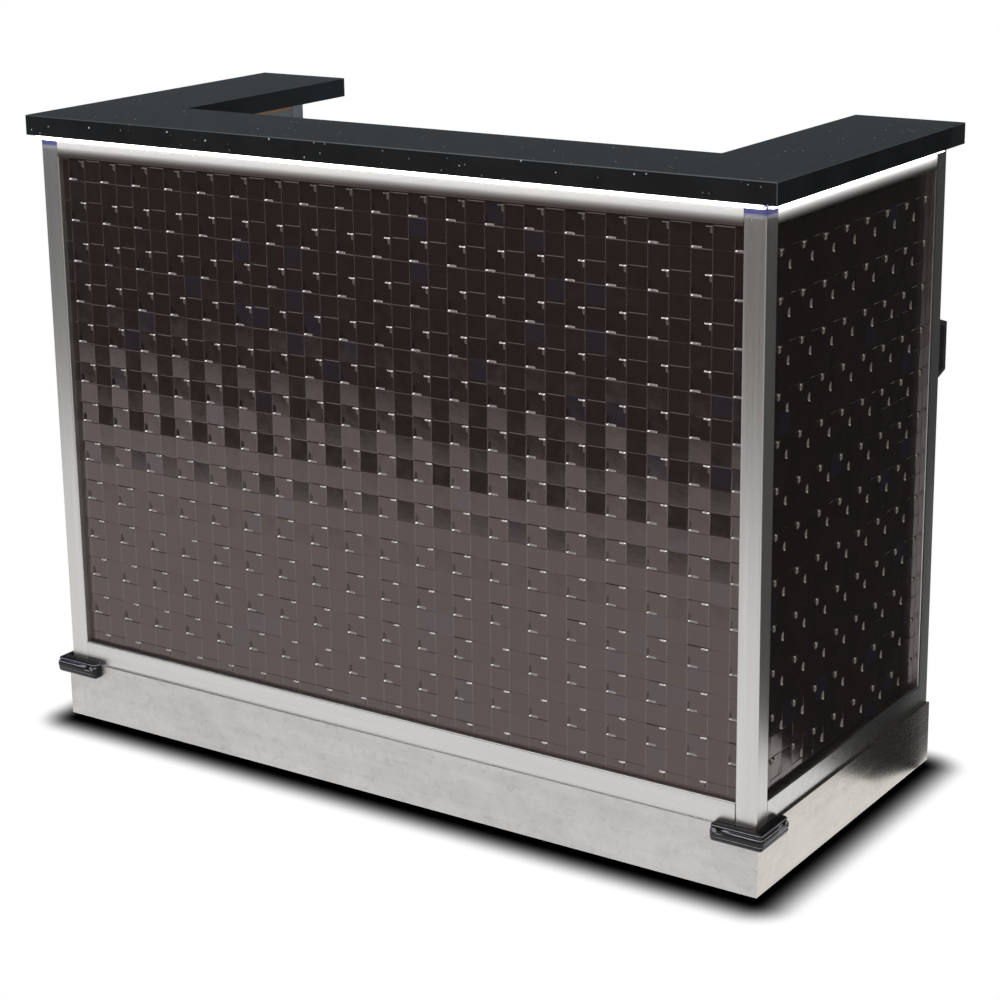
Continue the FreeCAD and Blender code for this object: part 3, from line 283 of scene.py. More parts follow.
def tile_face():
    """Dark glass-like tile: a dark brown body under a strong, slightly warm gloss."""
    made, tree, shader = material("tile_gloss", (0.009, 0.0056, 0.005), 0.14, IOR=1.93,
                                  Specular_Tint=(1.0, 0.8, 0.76, 1))
    cell = add(tree, "ShaderNodeVectorMath", {"operation": "SNAP"}, Vector=place(tree))
    cell.inputs[1].default_value = (TILE, TILE, TILE)
    lot = add(tree, "ShaderNodeTexWhiteNoise", Vector=cell.outputs[0]).outputs[0]
    cloud = ranged(tree, noise(tree, (45, 45, 45), 4), 0, 1)
    base = mixed(tree, lot, (0.0058, 0.0042, 0.0037), (0.009, 0.0062, 0.0054))
    base = mixed(tree, maths(tree, "MULTIPLY", cloud, 0.4), base, (0.013, 0.0095, 0.0088))
    bluish = maths(tree, "MULTIPLY", maths(tree, "GREATER_THAN", lot, BLUISH_LOT), 0.6)
    base = mixed(tree, bluish, base, (0.0085, 0.009, 0.019))
    ripple = noise(tree, (120, 120, 120), 2)
    link(tree, shader, Base_Color=base, Roughness=ranged(tree, cloud, 0.1, 0.17, 0, 1),
         Normal=bumped(tree, ripple, 0.00004))
    return made


def tile_flank(name, colour, rough, metallic, **more):
    """The flanks and rims of the tiles: grained, lighter than the faces, in colours that are painted
    highlights, bright or dim.
    """
    made, tree, shader = material(name, colour, rough, metallic, **more)
    grain = ranged(tree, noise(tree, (260, 260, 260), 3), 0, 1)
    link(tree, shader, Base_Color=mixed(tree, grain, toned(colour, 0.8), toned(colour, 1.2)))
    return made


def tile_back():
    """The panels' rough backs and sides."""
    made, tree, shader = material("tile_backing", (0.05, 0.04, 0.035), 0.7)
    grain = ranged(tree, noise(tree, (80, 80, 80), 3), 0, 1)
    link(tree, shader, Base_Color=mixed(tree, grain, (0.03, 0.025, 0.02), (0.07, 0.055, 0.045)))
    return made


def plywood():
    """Birch plywood: grain on its faces, dark and light layers on its edges."""
    made, tree, shader = material("birch_plywood", (0.55, 0.38, 0.22), 0.5)
    grain = ranged(tree, noise(tree, (3, 90, 90), 4, 0.6, 0.4), 0, 1)
    figure = ranged(tree, noise(tree, (2, 9, 9), 3, 0.6, 1.2), 0, 1)
    face = mixed(tree, grain, (0.46, 0.3, 0.16), (0.62, 0.44, 0.26))
    face = mixed(tree, maths(tree, "MULTIPLY", figure, 0.4), face, (0.4, 0.24, 0.12))
    layer = maths(tree, "PINGPONG", coordinates(tree)[2], PLY)
    layer = maths(tree, "GREATER_THAN", layer, PLY / 2)
    edge = mixed(tree, layer, (0.52, 0.36, 0.2), (0.25, 0.14, 0.07))
    flat = maths(tree, "GREATER_THAN", maths(tree, "ABSOLUTE", facing(tree)[2]), 0.5)
    link(tree, shader, Base_Color=mixed(tree, flat, edge, face),
         Roughness=ranged(tree, grain, 0.42, 0.58, 0, 1), Normal=bumped(tree, grain, 0.00008))
    return made


def timber():
    """Softwood with its grain along each strip: along X in front, along Y in the side walls."""
    made, tree, shader = material("softwood", (0.55, 0.32, 0.15), 0.55)
    across_front = noise(tree, (4, 160, 160), 4, 0.6, 0.5)
    along_side = noise(tree, (160, 4, 160), 4, 0.6, 0.5)
    aside = maths(tree, "ABSOLUTE", coordinates(tree)[0])
    side = maths(tree, "GREATER_THAN", aside, SIDE_WALL)
    picked = add(tree, "ShaderNodeMix", {"data_type": "FLOAT"})
    plug(tree, picked.inputs[0], side)
    plug(tree, picked.inputs[2], across_front)
    plug(tree, picked.inputs[3], along_side)
    grain = ranged(tree, picked.outputs[0], 0, 1)
    link(tree, shader, Base_Color=mixed(tree, grain, (0.36, 0.17, 0.065), (0.62, 0.38, 0.19)),
         Roughness=ranged(tree, grain, 0.62, 0.45, 0, 1), Normal=bumped(tree, grain, 0.00012))
    return made


def moulded(name, colour, rough, texture, scale=900):
    """Moulded plastic, rubber or paint, with a fine grain this many metres deep."""
    made, tree, shader = material(name, colour, rough)
    grain = ranged(tree, noise(tree, (scale, scale, scale), 2), 0, 1)
    dust = ranged(tree, noise(tree, (18, 18, 18), 4, 0.6), 0, 1)
    link(tree, shader, Base_Color=mixed(tree, dust, toned(colour, 0.8), toned(colour, 1.25)),
         Roughness=ranged(tree, maths(tree, "MULTIPLY", maths(tree, "ADD", grain, dust), 0.5),
                          rough - 0.05, rough + 0.09, 0, 1),
         Normal=bumped(tree, grain, texture, rounded(tree, 0.8 * MM)))
    return made


def rubber_with_painted_highlights():
    """Glossy black rubber with a painted highlight: a lavender-white band along the upward shoulders of
    its ribs, broken up in patches.
    """
    made, tree, shader = material("bumper_rubber", (0.006, 0.0058, 0.0065), 0.12, IOR=1.36)
    upward = facing(tree)[2]
    # Painted highlight: a lavender-white colour where the surface faces partly upward, in patches
    shoulder = maths(tree, "MULTIPLY", ranged(tree, upward, 0, 1, 0.42, 0.52),
                     ranged(tree, upward, 1, 0, 0.6, 0.72))
    highlight_patches = ranged(tree, noise(tree, (60, 60, 300), 3), 0.55, 1.0)
    painted_highlight = maths(tree, "MULTIPLY", shoulder, highlight_patches)
    grain = ranged(tree, noise(tree, (900, 900, 900), 2), 0, 1)
    base = mixed(tree, grain, (0.0045, 0.0043, 0.0048), (0.0085, 0.0082, 0.009))
    link(tree, shader, Base_Color=mixed(tree, painted_highlight, base, (0.36, 0.35, 0.42)),
         Roughness=ranged(tree, painted_highlight, 0.14, 0.3, 0, 1), Normal=bumped(tree, grain, 0.000004))
    return made


def plated(name, colour, other, rough=0.3, scale=60):
    """Plated or cast metal whose colour drifts in patches."""
    made, tree, shader = material(name, colour, rough, 1.0)
    patch = ranged(tree, noise(tree, (scale, scale, scale), 5, 0.65, 0.6), 0, 1)
    fine = ranged(tree, noise(tree, (1200, 1200, 1200), 2), 0, 1)
    link(tree, shader, Base_Color=mixed(tree, patch, colour, other),
         Roughness=ranged(tree, patch, rough - 0.05, rough + 0.12, 0, 1),
         Normal=bumped(tree, fine, 0.000015, rounded(tree, 0.6 * MM)))
    return made


def foam():
    """Pale insulating board with fine cells."""
    made, tree, shader = material("foam_board", (0.7, 0.75, 0.8), 0.85)
    cells = add(tree, "ShaderNodeTexVoronoi", {"feature": "F1"}, Vector=place(tree), Scale=420.0)
    tone = ranged(tree, cells.outputs["Distance"], 0, 1, 0.1, 0.8)
    link(tree, shader, Base_Color=mixed(tree, tone, (0.74, 0.79, 0.84), (0.58, 0.64, 0.7)),
         Normal=bumped(tree, tone, 0.0003))
    return made


def glow():
    """The milky diffuser, lit from inside, a little warmer in places."""
    made, tree, shader = material("lit_diffuser", (0.9, 0.92, 0.95), 0.35,
                                  Emission_Strength=LIGHT_STRENGTH)
    patch = ranged(tree, noise(tree, (9, 9, 9), 2), 0, 1)
    link(tree, shader, Emission_Color=mixed(tree, patch, (1.0, 0.96, 0.94), (0.97, 0.97, 1.0)))
    return made


def inlet_plastic():
    """Black plastic with bright contact pins in its socket."""
    made, tree, shader = material("inlet_case", (0.03, 0.03, 0.032), 0.4)
    low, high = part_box("power_inlet")
    spot = coordinates(tree)
    pin = maths(tree, "GREATER_THAN", spot[1], high[1] - PIN_DEEP)
    for axis, reach in PIN_REACH:
        off = maths(tree, "SUBTRACT", spot[axis], (low[axis] + high[axis]) / 2)
        near = maths(tree, "LESS_THAN", maths(tree, "ABSOLUTE", off), reach)
        pin = maths(tree, "MULTIPLY", pin, near)
    grain = ranged(tree, noise(tree, (900, 900, 900), 2), 0, 1)
    case = mixed(tree, grain, (0.022, 0.022, 0.024), (0.04, 0.04, 0.043))
    link(tree, shader, Base_Color=mixed(tree, pin, case, (0.75, 0.6, 0.35)), Metallic=pin,
         Roughness=ranged(tree, pin, 0.42, 0.22, 0, 1),
         Normal=bumped(tree, grain, 0.00003, rounded(tree, 0.6 * MM)))
    return made


# Stage

FLOOR_HALF = 14.0  # half the floor's side
FLAG_HIGH = 3.6  # top of the dark screens
AMBIENT = 0.72  # brightness of the surroundings as a light, where they look fully white
LAMP_TARGET = Vector((0, 0, 0.6))
# The painted shadow on the floor, worked out from the skirt's outline: how far inside the skirt it is
# measured from, where it starts to fade and ends from there, and how late it fades
SHADOW_INSET = 12 * MM
SHADOW_CORE = 4 * MM
SHADOW_END = 92 * MM
SHADOW_POWER = 1.9

# Dark screens that only reflections see, as a studio's unlit walls: two plan points, the height
# of the lower edge, and the brightness
WARM, PALE, GREY = (0.115, 0.1, 0.094), (0.5, 0.49, 0.46), (0.06, 0.06, 0.06)
BLACK, COOL, DIM = (0.03, 0.03, 0.03), (0.15, 0.18, 0.2), (0.081, 0.093, 0.102)
FLAGS = [((-2.7, -2.35), (2.6, -2.35), 0, WARM), ((2.6, -2.35), (2.6, -0.45), 0, PALE),
         ((2.6, -0.45), (2.6, 0.27), 0, GREY), ((2.6, 0.27), (1.0, 0.27), 0, BLACK),
         ((1.0, 0.27), (0.9, 0.2), 0, BLACK), ((0.9, 0.2), (0.8, 0.2), 0, BLACK),
         ((0.8, 0.2), (0.757, 0.3), 0, BLACK), ((0.757, 0.3), (1.1, 2.0), 0, GREY),
         ((2.6, 0.27), (1.1, 2.0), 0, GREY), ((1.1, 2.0), (-2.2, 2.1), 0, COOL),
         ((-2.2, 2.1), (-2.7, -2.35), 0, COOL), ((1.1, 1.95), (-2.15, 2.05), 1.3, DIM),
         ((-2.15, 2.05), (-2.65, -2.3), 1.3, DIM)]


def floor_material():
    """White to the camera and to reflections, with a painted shadow that only the camera sees: black
    under the bar and fading out round it.
    """
    made, tree, surface = bare_material("studio_floor")
    spot = coordinates(tree)
    front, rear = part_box("skirt_front")[0][1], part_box("post_rear_right")[1][1]
    half_x, half_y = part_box("skirt_right")[1][0], (rear - front) / 2
    # Painted shadow: darkness by the distance from the skirt's outline
    past_x = maths(tree, "SUBTRACT", maths(tree, "ABSOLUTE", spot[0]), half_x - SHADOW_INSET)
    past_y = maths(tree, "SUBTRACT", spot[1], (front + rear) / 2)
    past_y = maths(tree, "SUBTRACT", maths(tree, "ABSOLUTE", past_y), half_y - SHADOW_INSET)
    reach = add(tree, "ShaderNodeCombineXYZ", X=maths(tree, "MAXIMUM", past_x, 0.0),
                Y=maths(tree, "MAXIMUM", past_y, 0.0)).outputs[0]
    away = add(tree, "ShaderNodeVectorMath", {"operation": "LENGTH"}, Vector=reach).outputs["Value"]
    shade = add(tree, "ShaderNodeMapRange", {"interpolation_type": "SMOOTHSTEP"}, Value=away,
                From_Min=SHADOW_CORE, From_Max=SHADOW_END, To_Min=0.0, To_Max=1.0)
    lit = maths(tree, "POWER", shade.outputs[0], SHADOW_POWER)
    path = add(tree, "ShaderNodeLightPath")
    unseen = maths(tree, "SUBTRACT", 1.0, path.outputs["Is Camera Ray"])
    level = maths(tree, "MAXIMUM", lit, unseen)
    seen = add(tree, "ShaderNodeEmission", Color=mixed(tree, level, (0, 0, 0), (1, 1, 1)))
    plain = add(tree, "ShaderNodeBsdfDiffuse", Color=(0.8, 0.8, 0.8, 1))
    blend = add(tree, "ShaderNodeMixShader", Fac=seen_directly(tree))
    tree.links.new(plain.outputs[0], blend.inputs[1])
    tree.links.new(seen.outputs[0], blend.inputs[2])
    tree.links.new(blend.outputs[0], surface)
    return made


def seen_directly(tree):
    """1 for rays from the camera and for those that metal or glass sends on."""
    path = add(tree, "ShaderNodeLightPath")
    both = maths(tree, "MAXIMUM", path.outputs["Is Camera Ray"], path.outputs["Is Glossy Ray"])
    return maths(tree, "MAXIMUM", both, path.outputs["Is Transmission Ray"])


def make_world():
    """Surroundings that look white and light the bar a little less than that."""
    world = bpy.data.worlds.new("studio")
    bpy.context.scene.world = world
    world.use_nodes = True
    world.cycles.sampling_method = "NONE"
    tree = world.node_tree
    sky = tree.nodes["Background"]
    level = ranged(tree, seen_directly(tree), AMBIENT, 1.0, 0, 1)
    tree.links.new(level, sky.inputs["Strength"])
    sky.inputs["Color"].default_value = (1, 1, 1, 1)


def make_mesh(name, points, faces, materials, indices=None, smooth=False):
    """A new object; indices gives each face's material by its place in the list."""
    mesh = bpy.data.meshes.new(name)
    mesh.from_pydata([tuple(point) for point in points], [], faces)
    for made in materials:
        mesh.materials.append(made)
    if indices:
        mesh.polygons.foreach_set("material_index", indices)
    mesh.polygons.foreach_set("use_smooth", [smooth] * len(mesh.polygons))
    mesh.update()
    thing = bpy.data.objects.new(name, mesh)
    bpy.context.scene.collection.objects.link(thing)
    return thing


def make_stage():
    """The floor, the screens and the two lamps."""
    half = FLOOR_HALF
    corners = [(-half, -half, 0), (half, -half, 0), (half, half, 0), (-half, half, 0)]
    floor = make_mesh("studio_floor", corners, [(0, 1, 2, 3)], [floor_material()])
    for index, (start, end, foot, shade) in enumerate(FLAGS):
        grey, tree, surface = bare_material(f"flag_{index}")
        shine = add(tree, "ShaderNodeEmission", Color=(*shade, 1))
        tree.links.new(shine.outputs[0], surface)
        points = [(*start, foot), (*end, foot), (*end, FLAG_HIGH), (*start, FLAG_HIGH)]
        flag = make_mesh(f"studio_flag_{index}", points, [(0, 1, 2, 3)], [grey])
        flag.visible_camera = False
        flag.visible_diffuse = False
        flag.visible_shadow = False
        flag.visible_transmission = False
    make_lamp("key", (-2.1, -3.9, 3.7), (2.8, 1.5), 95)
    make_lamp("fill", (2.4, -3.0, 3.4), (2.4, 2.4), 25)


def make_lamp(name, spot, size, power):
    """A lamp aimed at the bar; size is its two sides, power is in watts."""
    lamp = bpy.data.lights.new(name, "AREA")
    lamp.shape = "RECTANGLE"
    lamp.size, lamp.size_y = size
    lamp.energy = power
    thing = bpy.data.objects.new(name, lamp)
    bpy.context.scene.collection.objects.link(thing)
    thing.location = spot
    aim = LAMP_TARGET - Vector(spot)
    thing.rotation_euler = aim.to_track_quat("-Z", "Y").to_euler()


def make_camera():
    """The photograph's camera."""
    across = math.cos(CAMERA_ELEVATION)
    back = Vector((math.sin(CAMERA_AZIMUTH) * across, -math.cos(CAMERA_AZIMUTH) * across,
                   math.sin(CAMERA_ELEVATION)))
    level = (-back).cross(Vector((0, 0, 1))).normalized()
    up = level.cross(-back)
    turn_cos, turn_sin = math.cos(CAMERA_ROLL), math.sin(CAMERA_ROLL)
    right = level * turn_cos + up * turn_sin
    top = up * turn_cos - level * turn_sin
    lens = bpy.data.cameras.new("camera")
    lens.lens = CAMERA_LENS
    lens.sensor_width = CAMERA_SENSOR
    lens.shift_x, lens.shift_y = CAMERA_SHIFT
    camera = bpy.data.objects.new("camera", lens)
    bpy.context.scene.collection.objects.link(camera)
    turn = Matrix((right, top, back)).transposed().to_4x4()
    camera.matrix_world = Matrix.Translation(CAMERA_PLACE) @ turn
    bpy.context.scene.camera = camera


# Tile panels

def eased(value):
    """The value held between 0 and 1, with a soft start and end."""
    value = max(0.0, min(1.0, value))
    return value * value * (3 - 2 * value)


class Panel:
    """A panel of tiles as one mesh. Points are (across, up, out) from the panel's own corner."""

    def __init__(self, origin, across, out):
        self.origin = Vector(origin)
        self.across, self.out, self.up = Vector(across), Vector(out), Vector((0, 0, 1))
        self.points, self.faces, self.indices, self.normals = [], [], [], []

    def point(self, a, b, height):
        """Add a point and return its place in the list."""
        self.points.append(self.origin + self.across * a + self.up * b + self.out * height)
        return len(self.points) - 1

    def face(self, corners, finish, normal=None):
        """Add a face, with the normal that it is shaded by where that isn't its own."""
        self.faces.append(corners)
        self.indices.append(finish)
        self.normals.append(normal)

    def leaning(self, lean_a, lean_b):
        """The normal of a tile with these slopes."""
        return (self.out - self.across * lean_a - self.up * lean_b).normalized()

    def lay(self, tile):
        """Add a tile, cell by cell."""
        rows = [[self.point(a, b, tile.height(a, b)) for a in tile.across] for b in tile.up]
        for row in range(len(tile.up) - 1):
            for column in range(len(tile.across) - 1):
                slopes = tile.slopes(row, column)
                self.face((rows[row][column], rows[row][column + 1], rows[row + 1][column + 1],
                           rows[row + 1][column]), tile.finish(row, column),
                          self.leaning(*slopes) if slopes else None)


def woven_lines(span, flanks, tile_start):
    """The lines of a woven tile along one side: chamfers, flanks and steps over its face."""
    marks = [tile_start + CHAMFER, tile_start + CHAMFER + flanks[0]]
    start, end = marks[1], tile_start + TILE - CHAMFER - flanks[1]
    marks += [start + (end - start) * step / FACE_STEPS for step in range(1, FACE_STEPS + 1)]
    marks.append(tile_start + TILE - CHAMFER)
    edge = CHAMFER + LEAST_CELL
    kept = [mark for mark in marks if span[0] + edge < mark < span[1] - edge]
    low, high = span[0] + CHAMFER, span[1] - CHAMFER
    if len(kept) < 2:
        kept = [(2 * low + high) / 3, (low + 2 * high) / 3]
    return [low, *kept, high]


class Tile:
    """A tile of a panel, or what the panel's edges leave of it, as a grid of cells: lines across
    and up, from groove to groove. left and top are the whole tile's sides, spans what is left of
    it across and up, leans its slopes. A woven tile's top right corner stands out and its bottom
    left one is sunk, or in a turned panel its top left and bottom right ones."""

    def __init__(self, left, top, spans, leans, is_woven, turned):
        self.spans, self.leans, self.is_woven, self.turned = spans, leans, is_woven, turned
        self.a_mid, self.b_mid = left + TILE / 2, top - TILE / 2
        lines = [[span[0] + CHAMFER, span[1] - CHAMFER] for span in spans]
        if is_woven:
            along = (SIDE_FLANK, SIDE_FLANK)
            flanks_a = (LIFT_FLANK, SINK_FLANKS[turned]) if turned else along
            flanks_b = along if turned else (SINK_FLANKS[turned], LIFT_FLANK)
            lines = [woven_lines(spans[0], flanks_a, left), woven_lines(spans[1], flanks_b, top - TILE)]
        self.across, self.up = ([span[0], *inner, span[1]] for span, inner in zip(spans, lines))
        self.last_column, self.last_row = len(self.across) - 2, len(self.up) - 2

    def plane(self, a, b):
        """How far the plain tile stands out at a point."""
        return self.leans[0] * (a - self.a_mid) + self.leans[1] * (b - self.b_mid)

    def woven(self, a, b):
        """The same with the two bent corners."""
        sense, bends = -1 if self.turned else 1, BENDS[self.turned]
        reach = (sense * (a - self.a_mid) + (b - self.b_mid)) / (TILE / 2)
        lifted = eased((reach - bends[0]) / BEND_WIDTH)
        sunk = eased((-reach - bends[1]) / BEND_WIDTH)
        return self.plane(a, b) + LIFT * lifted - SINKS[self.turned] * sunk

    def height(self, a, b):
        """How far the tile stands out where two of its lines cross."""
        if a in self.spans[0] or b in self.spans[1]:
            return -GROOVE
        within = a in self.across[2:-2] and b in self.up[2:-2]
        return self.woven(a, b) if within else self.plane(a, b)

    def finish(self, row, column):
        """A cell's finish."""
        if column in (0, self.last_column) and 0 < row < self.last_row:
            return RIM
        if not self.is_woven or row in (0, self.last_row) or column in (0, self.last_column):
            return FACE
        flank_a = column in (1, self.last_column - 1)
        flank_b = row in (1, self.last_row - 1)
        stand = self.woven((self.across[column] + self.across[column + 1]) / 2,
                           (self.up[row] + self.up[row + 1]) / 2)
        if not (flank_a or flank_b) or abs(stand) < BARE_FROM:
            return FACE
        # The flanks paint light: a glint where two meet, a bright bar on one pair, a dim bar on the
        # other pair where it stands out
        if flank_a and flank_b:
            return GLINT
        if flank_a if self.turned else flank_b:
            return BAR
        return PAINTED_DIM_BAR if stand > 0 else FACE

    def slopes(self, row, column):
        """The slopes that a cell is shaded by, where they aren't its own."""
        finish = self.finish(row, column)
        if finish == RIM:
            return 0, 0
        inside = 0 < row < self.last_row and 0 < column < self.last_column
        return self.leans if self.is_woven and inside and finish == FACE else None


def tile_panel(origin, across, out, width, height, woven_left, woven_top, turned, seed):
    """Tiles over a panel's outer face. In each group of four, one is woven. woven_left and
    woven_top are the left and top side of one of these, from the panel's corner."""
    chance = random.Random(seed)
    panel = Panel(origin, across, out)
    left = woven_left - math.ceil(woven_left / (2 * TILE)) * 2 * TILE
    top = woven_top + math.ceil((height - woven_top) / (2 * TILE)) * 2 * TILE
    for column in range(math.ceil((width - left) / TILE)):
        for row in range(math.ceil(top / TILE)):
            a_low, b_high = left + column * TILE, top - row * TILE
            spans = ((max(a_low, 0.0), min(a_low + TILE, width)),
                     (max(b_high - TILE, 0.0), min(b_high, height)))
            lean_a = chance.gauss(0, LEAN_SPREAD[0])
            lean_b = LEANS[column % 2, row % 2] + chance.gauss(0, LEAN_SPREAD[1])
            if min(end - start for start, end in spans) >= SLIVER:
                is_woven = column % 2 == 0 and row % 2 == 0
                panel.lay(Tile(a_low, b_high, spans, (lean_a, lean_b), is_woven, turned))
    return panel


def close_panel(panel, width, height, depth):
    """The back and sides of a panel, so that it is a solid sheet."""
    corners = [(0, 0), (width, 0), (width, height), (0, height)]
    rims = [panel.point(a, b, -GROOVE) for a, b in corners]
    backs = [panel.point(a, b, -depth) for a, b in corners]
    for index in range(4):
        following = (index + 1) % 4
        panel.face((rims[following], rims[index], backs[index], backs[following]), BACK)
    panel.face(tuple(reversed(backs)), BACK)


def make_panels():
    """The three tile panels, each with its own chance leans."""
    face, back = tile_face(), tile_back()
    # Painted light on the tiles: the front's rims are a painted lighter line, its bars and glints
    # painted highlights and its dim bars weaker ones; the sides' copies are painted dimmer, as shaded
    # copies
    rim = tile_flank("tile_rim_painted_highlight", (0.04, 0.032, 0.03), 0.16, 0.0, IOR=2.0,
                     Specular_Tint=(1.0, 0.85, 0.8, 1))
    front = [face, tile_flank("tile_bar_painted_highlight", (0.75, 0.7, 0.69), 0.26, 0.7), back,
             tile_flank("tile_bar_painted_dim_highlight", (0.1, 0.08, 0.066), 0.25, 0.0), rim,
             tile_flank("tile_painted_glint", (0.99, 0.96, 0.96), 0.3, 0.75)]
    side = [face, tile_flank("tile_side_bar_painted_highlight", (0.15, 0.128, 0.108), 0.3, 0.0), back,
            tile_flank("tile_side_bar_painted_dim_highlight", (0.03, 0.027, 0.024), 0.4, 0.0), face,
            tile_flank("tile_side_painted_glint", (0.5, 0.44, 0.37), 0.25, 0.3)]
    woven_left = (-WOVEN_RIGHT[0] - TILE, WOVEN_RIGHT[1])
    for node, (column_at, row_at), seed in (
            ("front_panel", WOVEN_FRONT, 11), ("right_panel", WOVEN_RIGHT, 12),
            ("left_panel", woven_left, 13)):
        low, high = (Vector(corner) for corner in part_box(node))
        if node == "front_panel":
            origin, across, out = low, (1, 0, 0), (0, -1, 0)
            width, depth, start = high.x - low.x, high.y - low.y, low.x
        elif node == "right_panel":
            origin, across, out = Vector((high.x, low.y, low.z)), (0, 1, 0), (1, 0, 0)
            width, depth, start = high.y - low.y, high.x - low.x, low.y
        else:
            origin, across, out = Vector((low.x, high.y, low.z)), (0, -1, 0), (-1, 0, 0)
            width, depth, start = high.y - low.y, high.x - low.x, -high.y
        height = high.z - low.z
        panel = tile_panel(origin, across, out, width, height, column_at - start, row_at - low.z,
                           node != "front_panel", seed)
        close_panel(panel, width, height, depth)
        piece = make_mesh(f"{node}_tiles", panel.points, panel.faces,
                          front if node == "front_panel" else side, panel.indices)
        shade_flat(piece.data, panel.normals)
        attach(piece, BODY)
        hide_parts(node)


def shade_flat(mesh, normals):
    """Shade the faces that were given a normal by it, and leave the others as they are."""
    mesh.polygons.foreach_set("use_smooth", [normal is not None for normal in normals])
    corners = []
    for polygon, normal in zip(mesh.polygons, normals):
        corners += [normal or Vector((0, 0, 0))] * polygon.loop_total
    mesh.normals_split_custom_set(corners)


# Bumpers

BUMPER_PROUD = 18 * MM  # from its back to its outer face
BUMPER_LEG = 100 * MM  # length of each leg along the skirt
BUMPER_CORNER = 8 * MM  # radius round the skirt's corner
BUMPER_END = 8 * MM  # length of the rounded end of a leg
END_SHARES = (0, 0.03, 0.12, 0.27, 0.47, 0.72, 1.0)  # places along a rounded end
END_LEAST = 0.06  # share of its depth that the very end keeps
LEG_DIVIDED = 0.4  # where the straight run of a leg is divided
CORNER_STEPS = 8
# The wells for the screws' heads, and where they are: from a leg's end and from the underside
WELL_RADIUS = 4.9 * MM
WELL_DEPTH = 4 * MM
SCREW_EDGE = 12 * MM
SCREW_RISE = 20.75 * MM
# How far the moulding stands out at each share of its height, from the bottom up
RIBS = [(0.0, 0.0), (0.0, 0.5), (0.025, 0.7), (0.08, 0.83), (0.17, 0.92), (0.27, 0.955), (0.31, 0.93),
        (0.335, 0.87), (0.36, 0.93), (0.4, 0.985), (0.5, 1.0), (0.6, 0.995), (0.68, 0.955),
        (0.735, 0.88), (0.77, 0.78), (0.795, 0.73), (0.82, 0.78), (0.86, 0.85), (0.905, 0.84),
        (0.95, 0.76), (0.985, 0.6), (1.0, 0.38), (1.0, 0.0)]


def bumper_sections(side_x, front_y):
    """Places along the moulding, each a function from how far it stands out to a plan point,
    with the share of its full size there."""
    leg = BUMPER_LEG - BUMPER_PROUD
    corner = Vector((side_x - BUMPER_PROUD, front_y + BUMPER_PROUD))
    turn = Vector((side_x - BUMPER_CORNER, front_y + BUMPER_CORNER))

    def straight(base, outward):
        """A place along a leg."""
        return lambda stand: base + outward * stand

    def bent(angle):
        """A place in the bend, this far round from the front leg. Its inner points share a line,
        because the moulding's back is a sharp corner."""
        def spot(stand):
            reach = stand - BUMPER_PROUD + BUMPER_CORNER
            if reach < 0:
                return turn + Vector((reach, -reach))
            return turn + Vector((math.sin(angle), -math.cos(angle))) * reach
        return spot

    front, aside = Vector((0, -1)), Vector((1, 0))
    sections = [(straight(corner - Vector((leg - share * BUMPER_END, 0)), front), share)
                for share in END_SHARES]
    sections.append((straight(corner - Vector((leg * LEG_DIVIDED, 0)), front), 1.0))
    sections += [(bent(math.radians(90 * step / CORNER_STEPS)), 1.0)
                 for step in range(CORNER_STEPS + 1)]
    sections.append((straight(corner + Vector((0, leg * LEG_DIVIDED)), aside), 1.0))
    sections += [(straight(corner + Vector((0, leg - share * BUMPER_END)), aside), share)
                 for share in reversed(END_SHARES)]
    return sections


def bumper(side, sign, finish):
    """A ribbed moulding round the skirt's front corner, rounded at both ends."""
    low, high = (Vector(corner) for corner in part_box(f"bumper_{side}"))
    outer_x = high.x if sign > 0 else -low.x
    rise = high.z - low.z
    sections = bumper_sections(outer_x, low.y)
    points, faces = [], []
    for spot, share in sections:
        # Towards a leg's end the depth falls along a quarter circle, and the height to a half
        full = math.sqrt(max(0.0, 1 - (1 - share) ** 2))
        squeeze = 0.5 + 0.5 * full
        for height, stand in RIBS:
            plan = spot(BUMPER_PROUD * stand * max(full, END_LEAST))
            points.append((sign * plan.x, plan.y, low.z + rise * (0.5 + (height - 0.5) * squeeze)))
    count = len(RIBS)
    for index in range(len(sections) - 1):
        for step in range(count):
            following = (step + 1) % count
            a, b = index * count + step, index * count + following
            faces.append((a, a + count, b + count, b))
    faces.append(tuple(range(count)))
    faces.append(tuple(reversed(range((len(sections) - 1) * count, len(sections) * count))))
    piece = make_mesh(f"bumper_moulding_{side}", points, faces, [finish], smooth=True)
    shape = bmesh.new()
    shape.from_mesh(piece.data)
    bmesh.ops.remove_doubles(shape, verts=shape.verts, dist=0.00001)
    bmesh.ops.dissolve_degenerate(shape, edges=shape.edges, dist=0.000001)
    bmesh.ops.recalc_face_normals(shape, faces=shape.faces)
    shape.to_mesh(piece.data)
    shape.free()
    level = low.z + SCREW_RISE
    bore(piece, (sign * (outer_x - BUMPER_LEG + SCREW_EDGE), low.y, level), "Y")
    bore(piece, (sign * outer_x, low.y + BUMPER_LEG - SCREW_EDGE, level), "X")
    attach(piece, BODY)
    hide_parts(f"bumper_{side}")


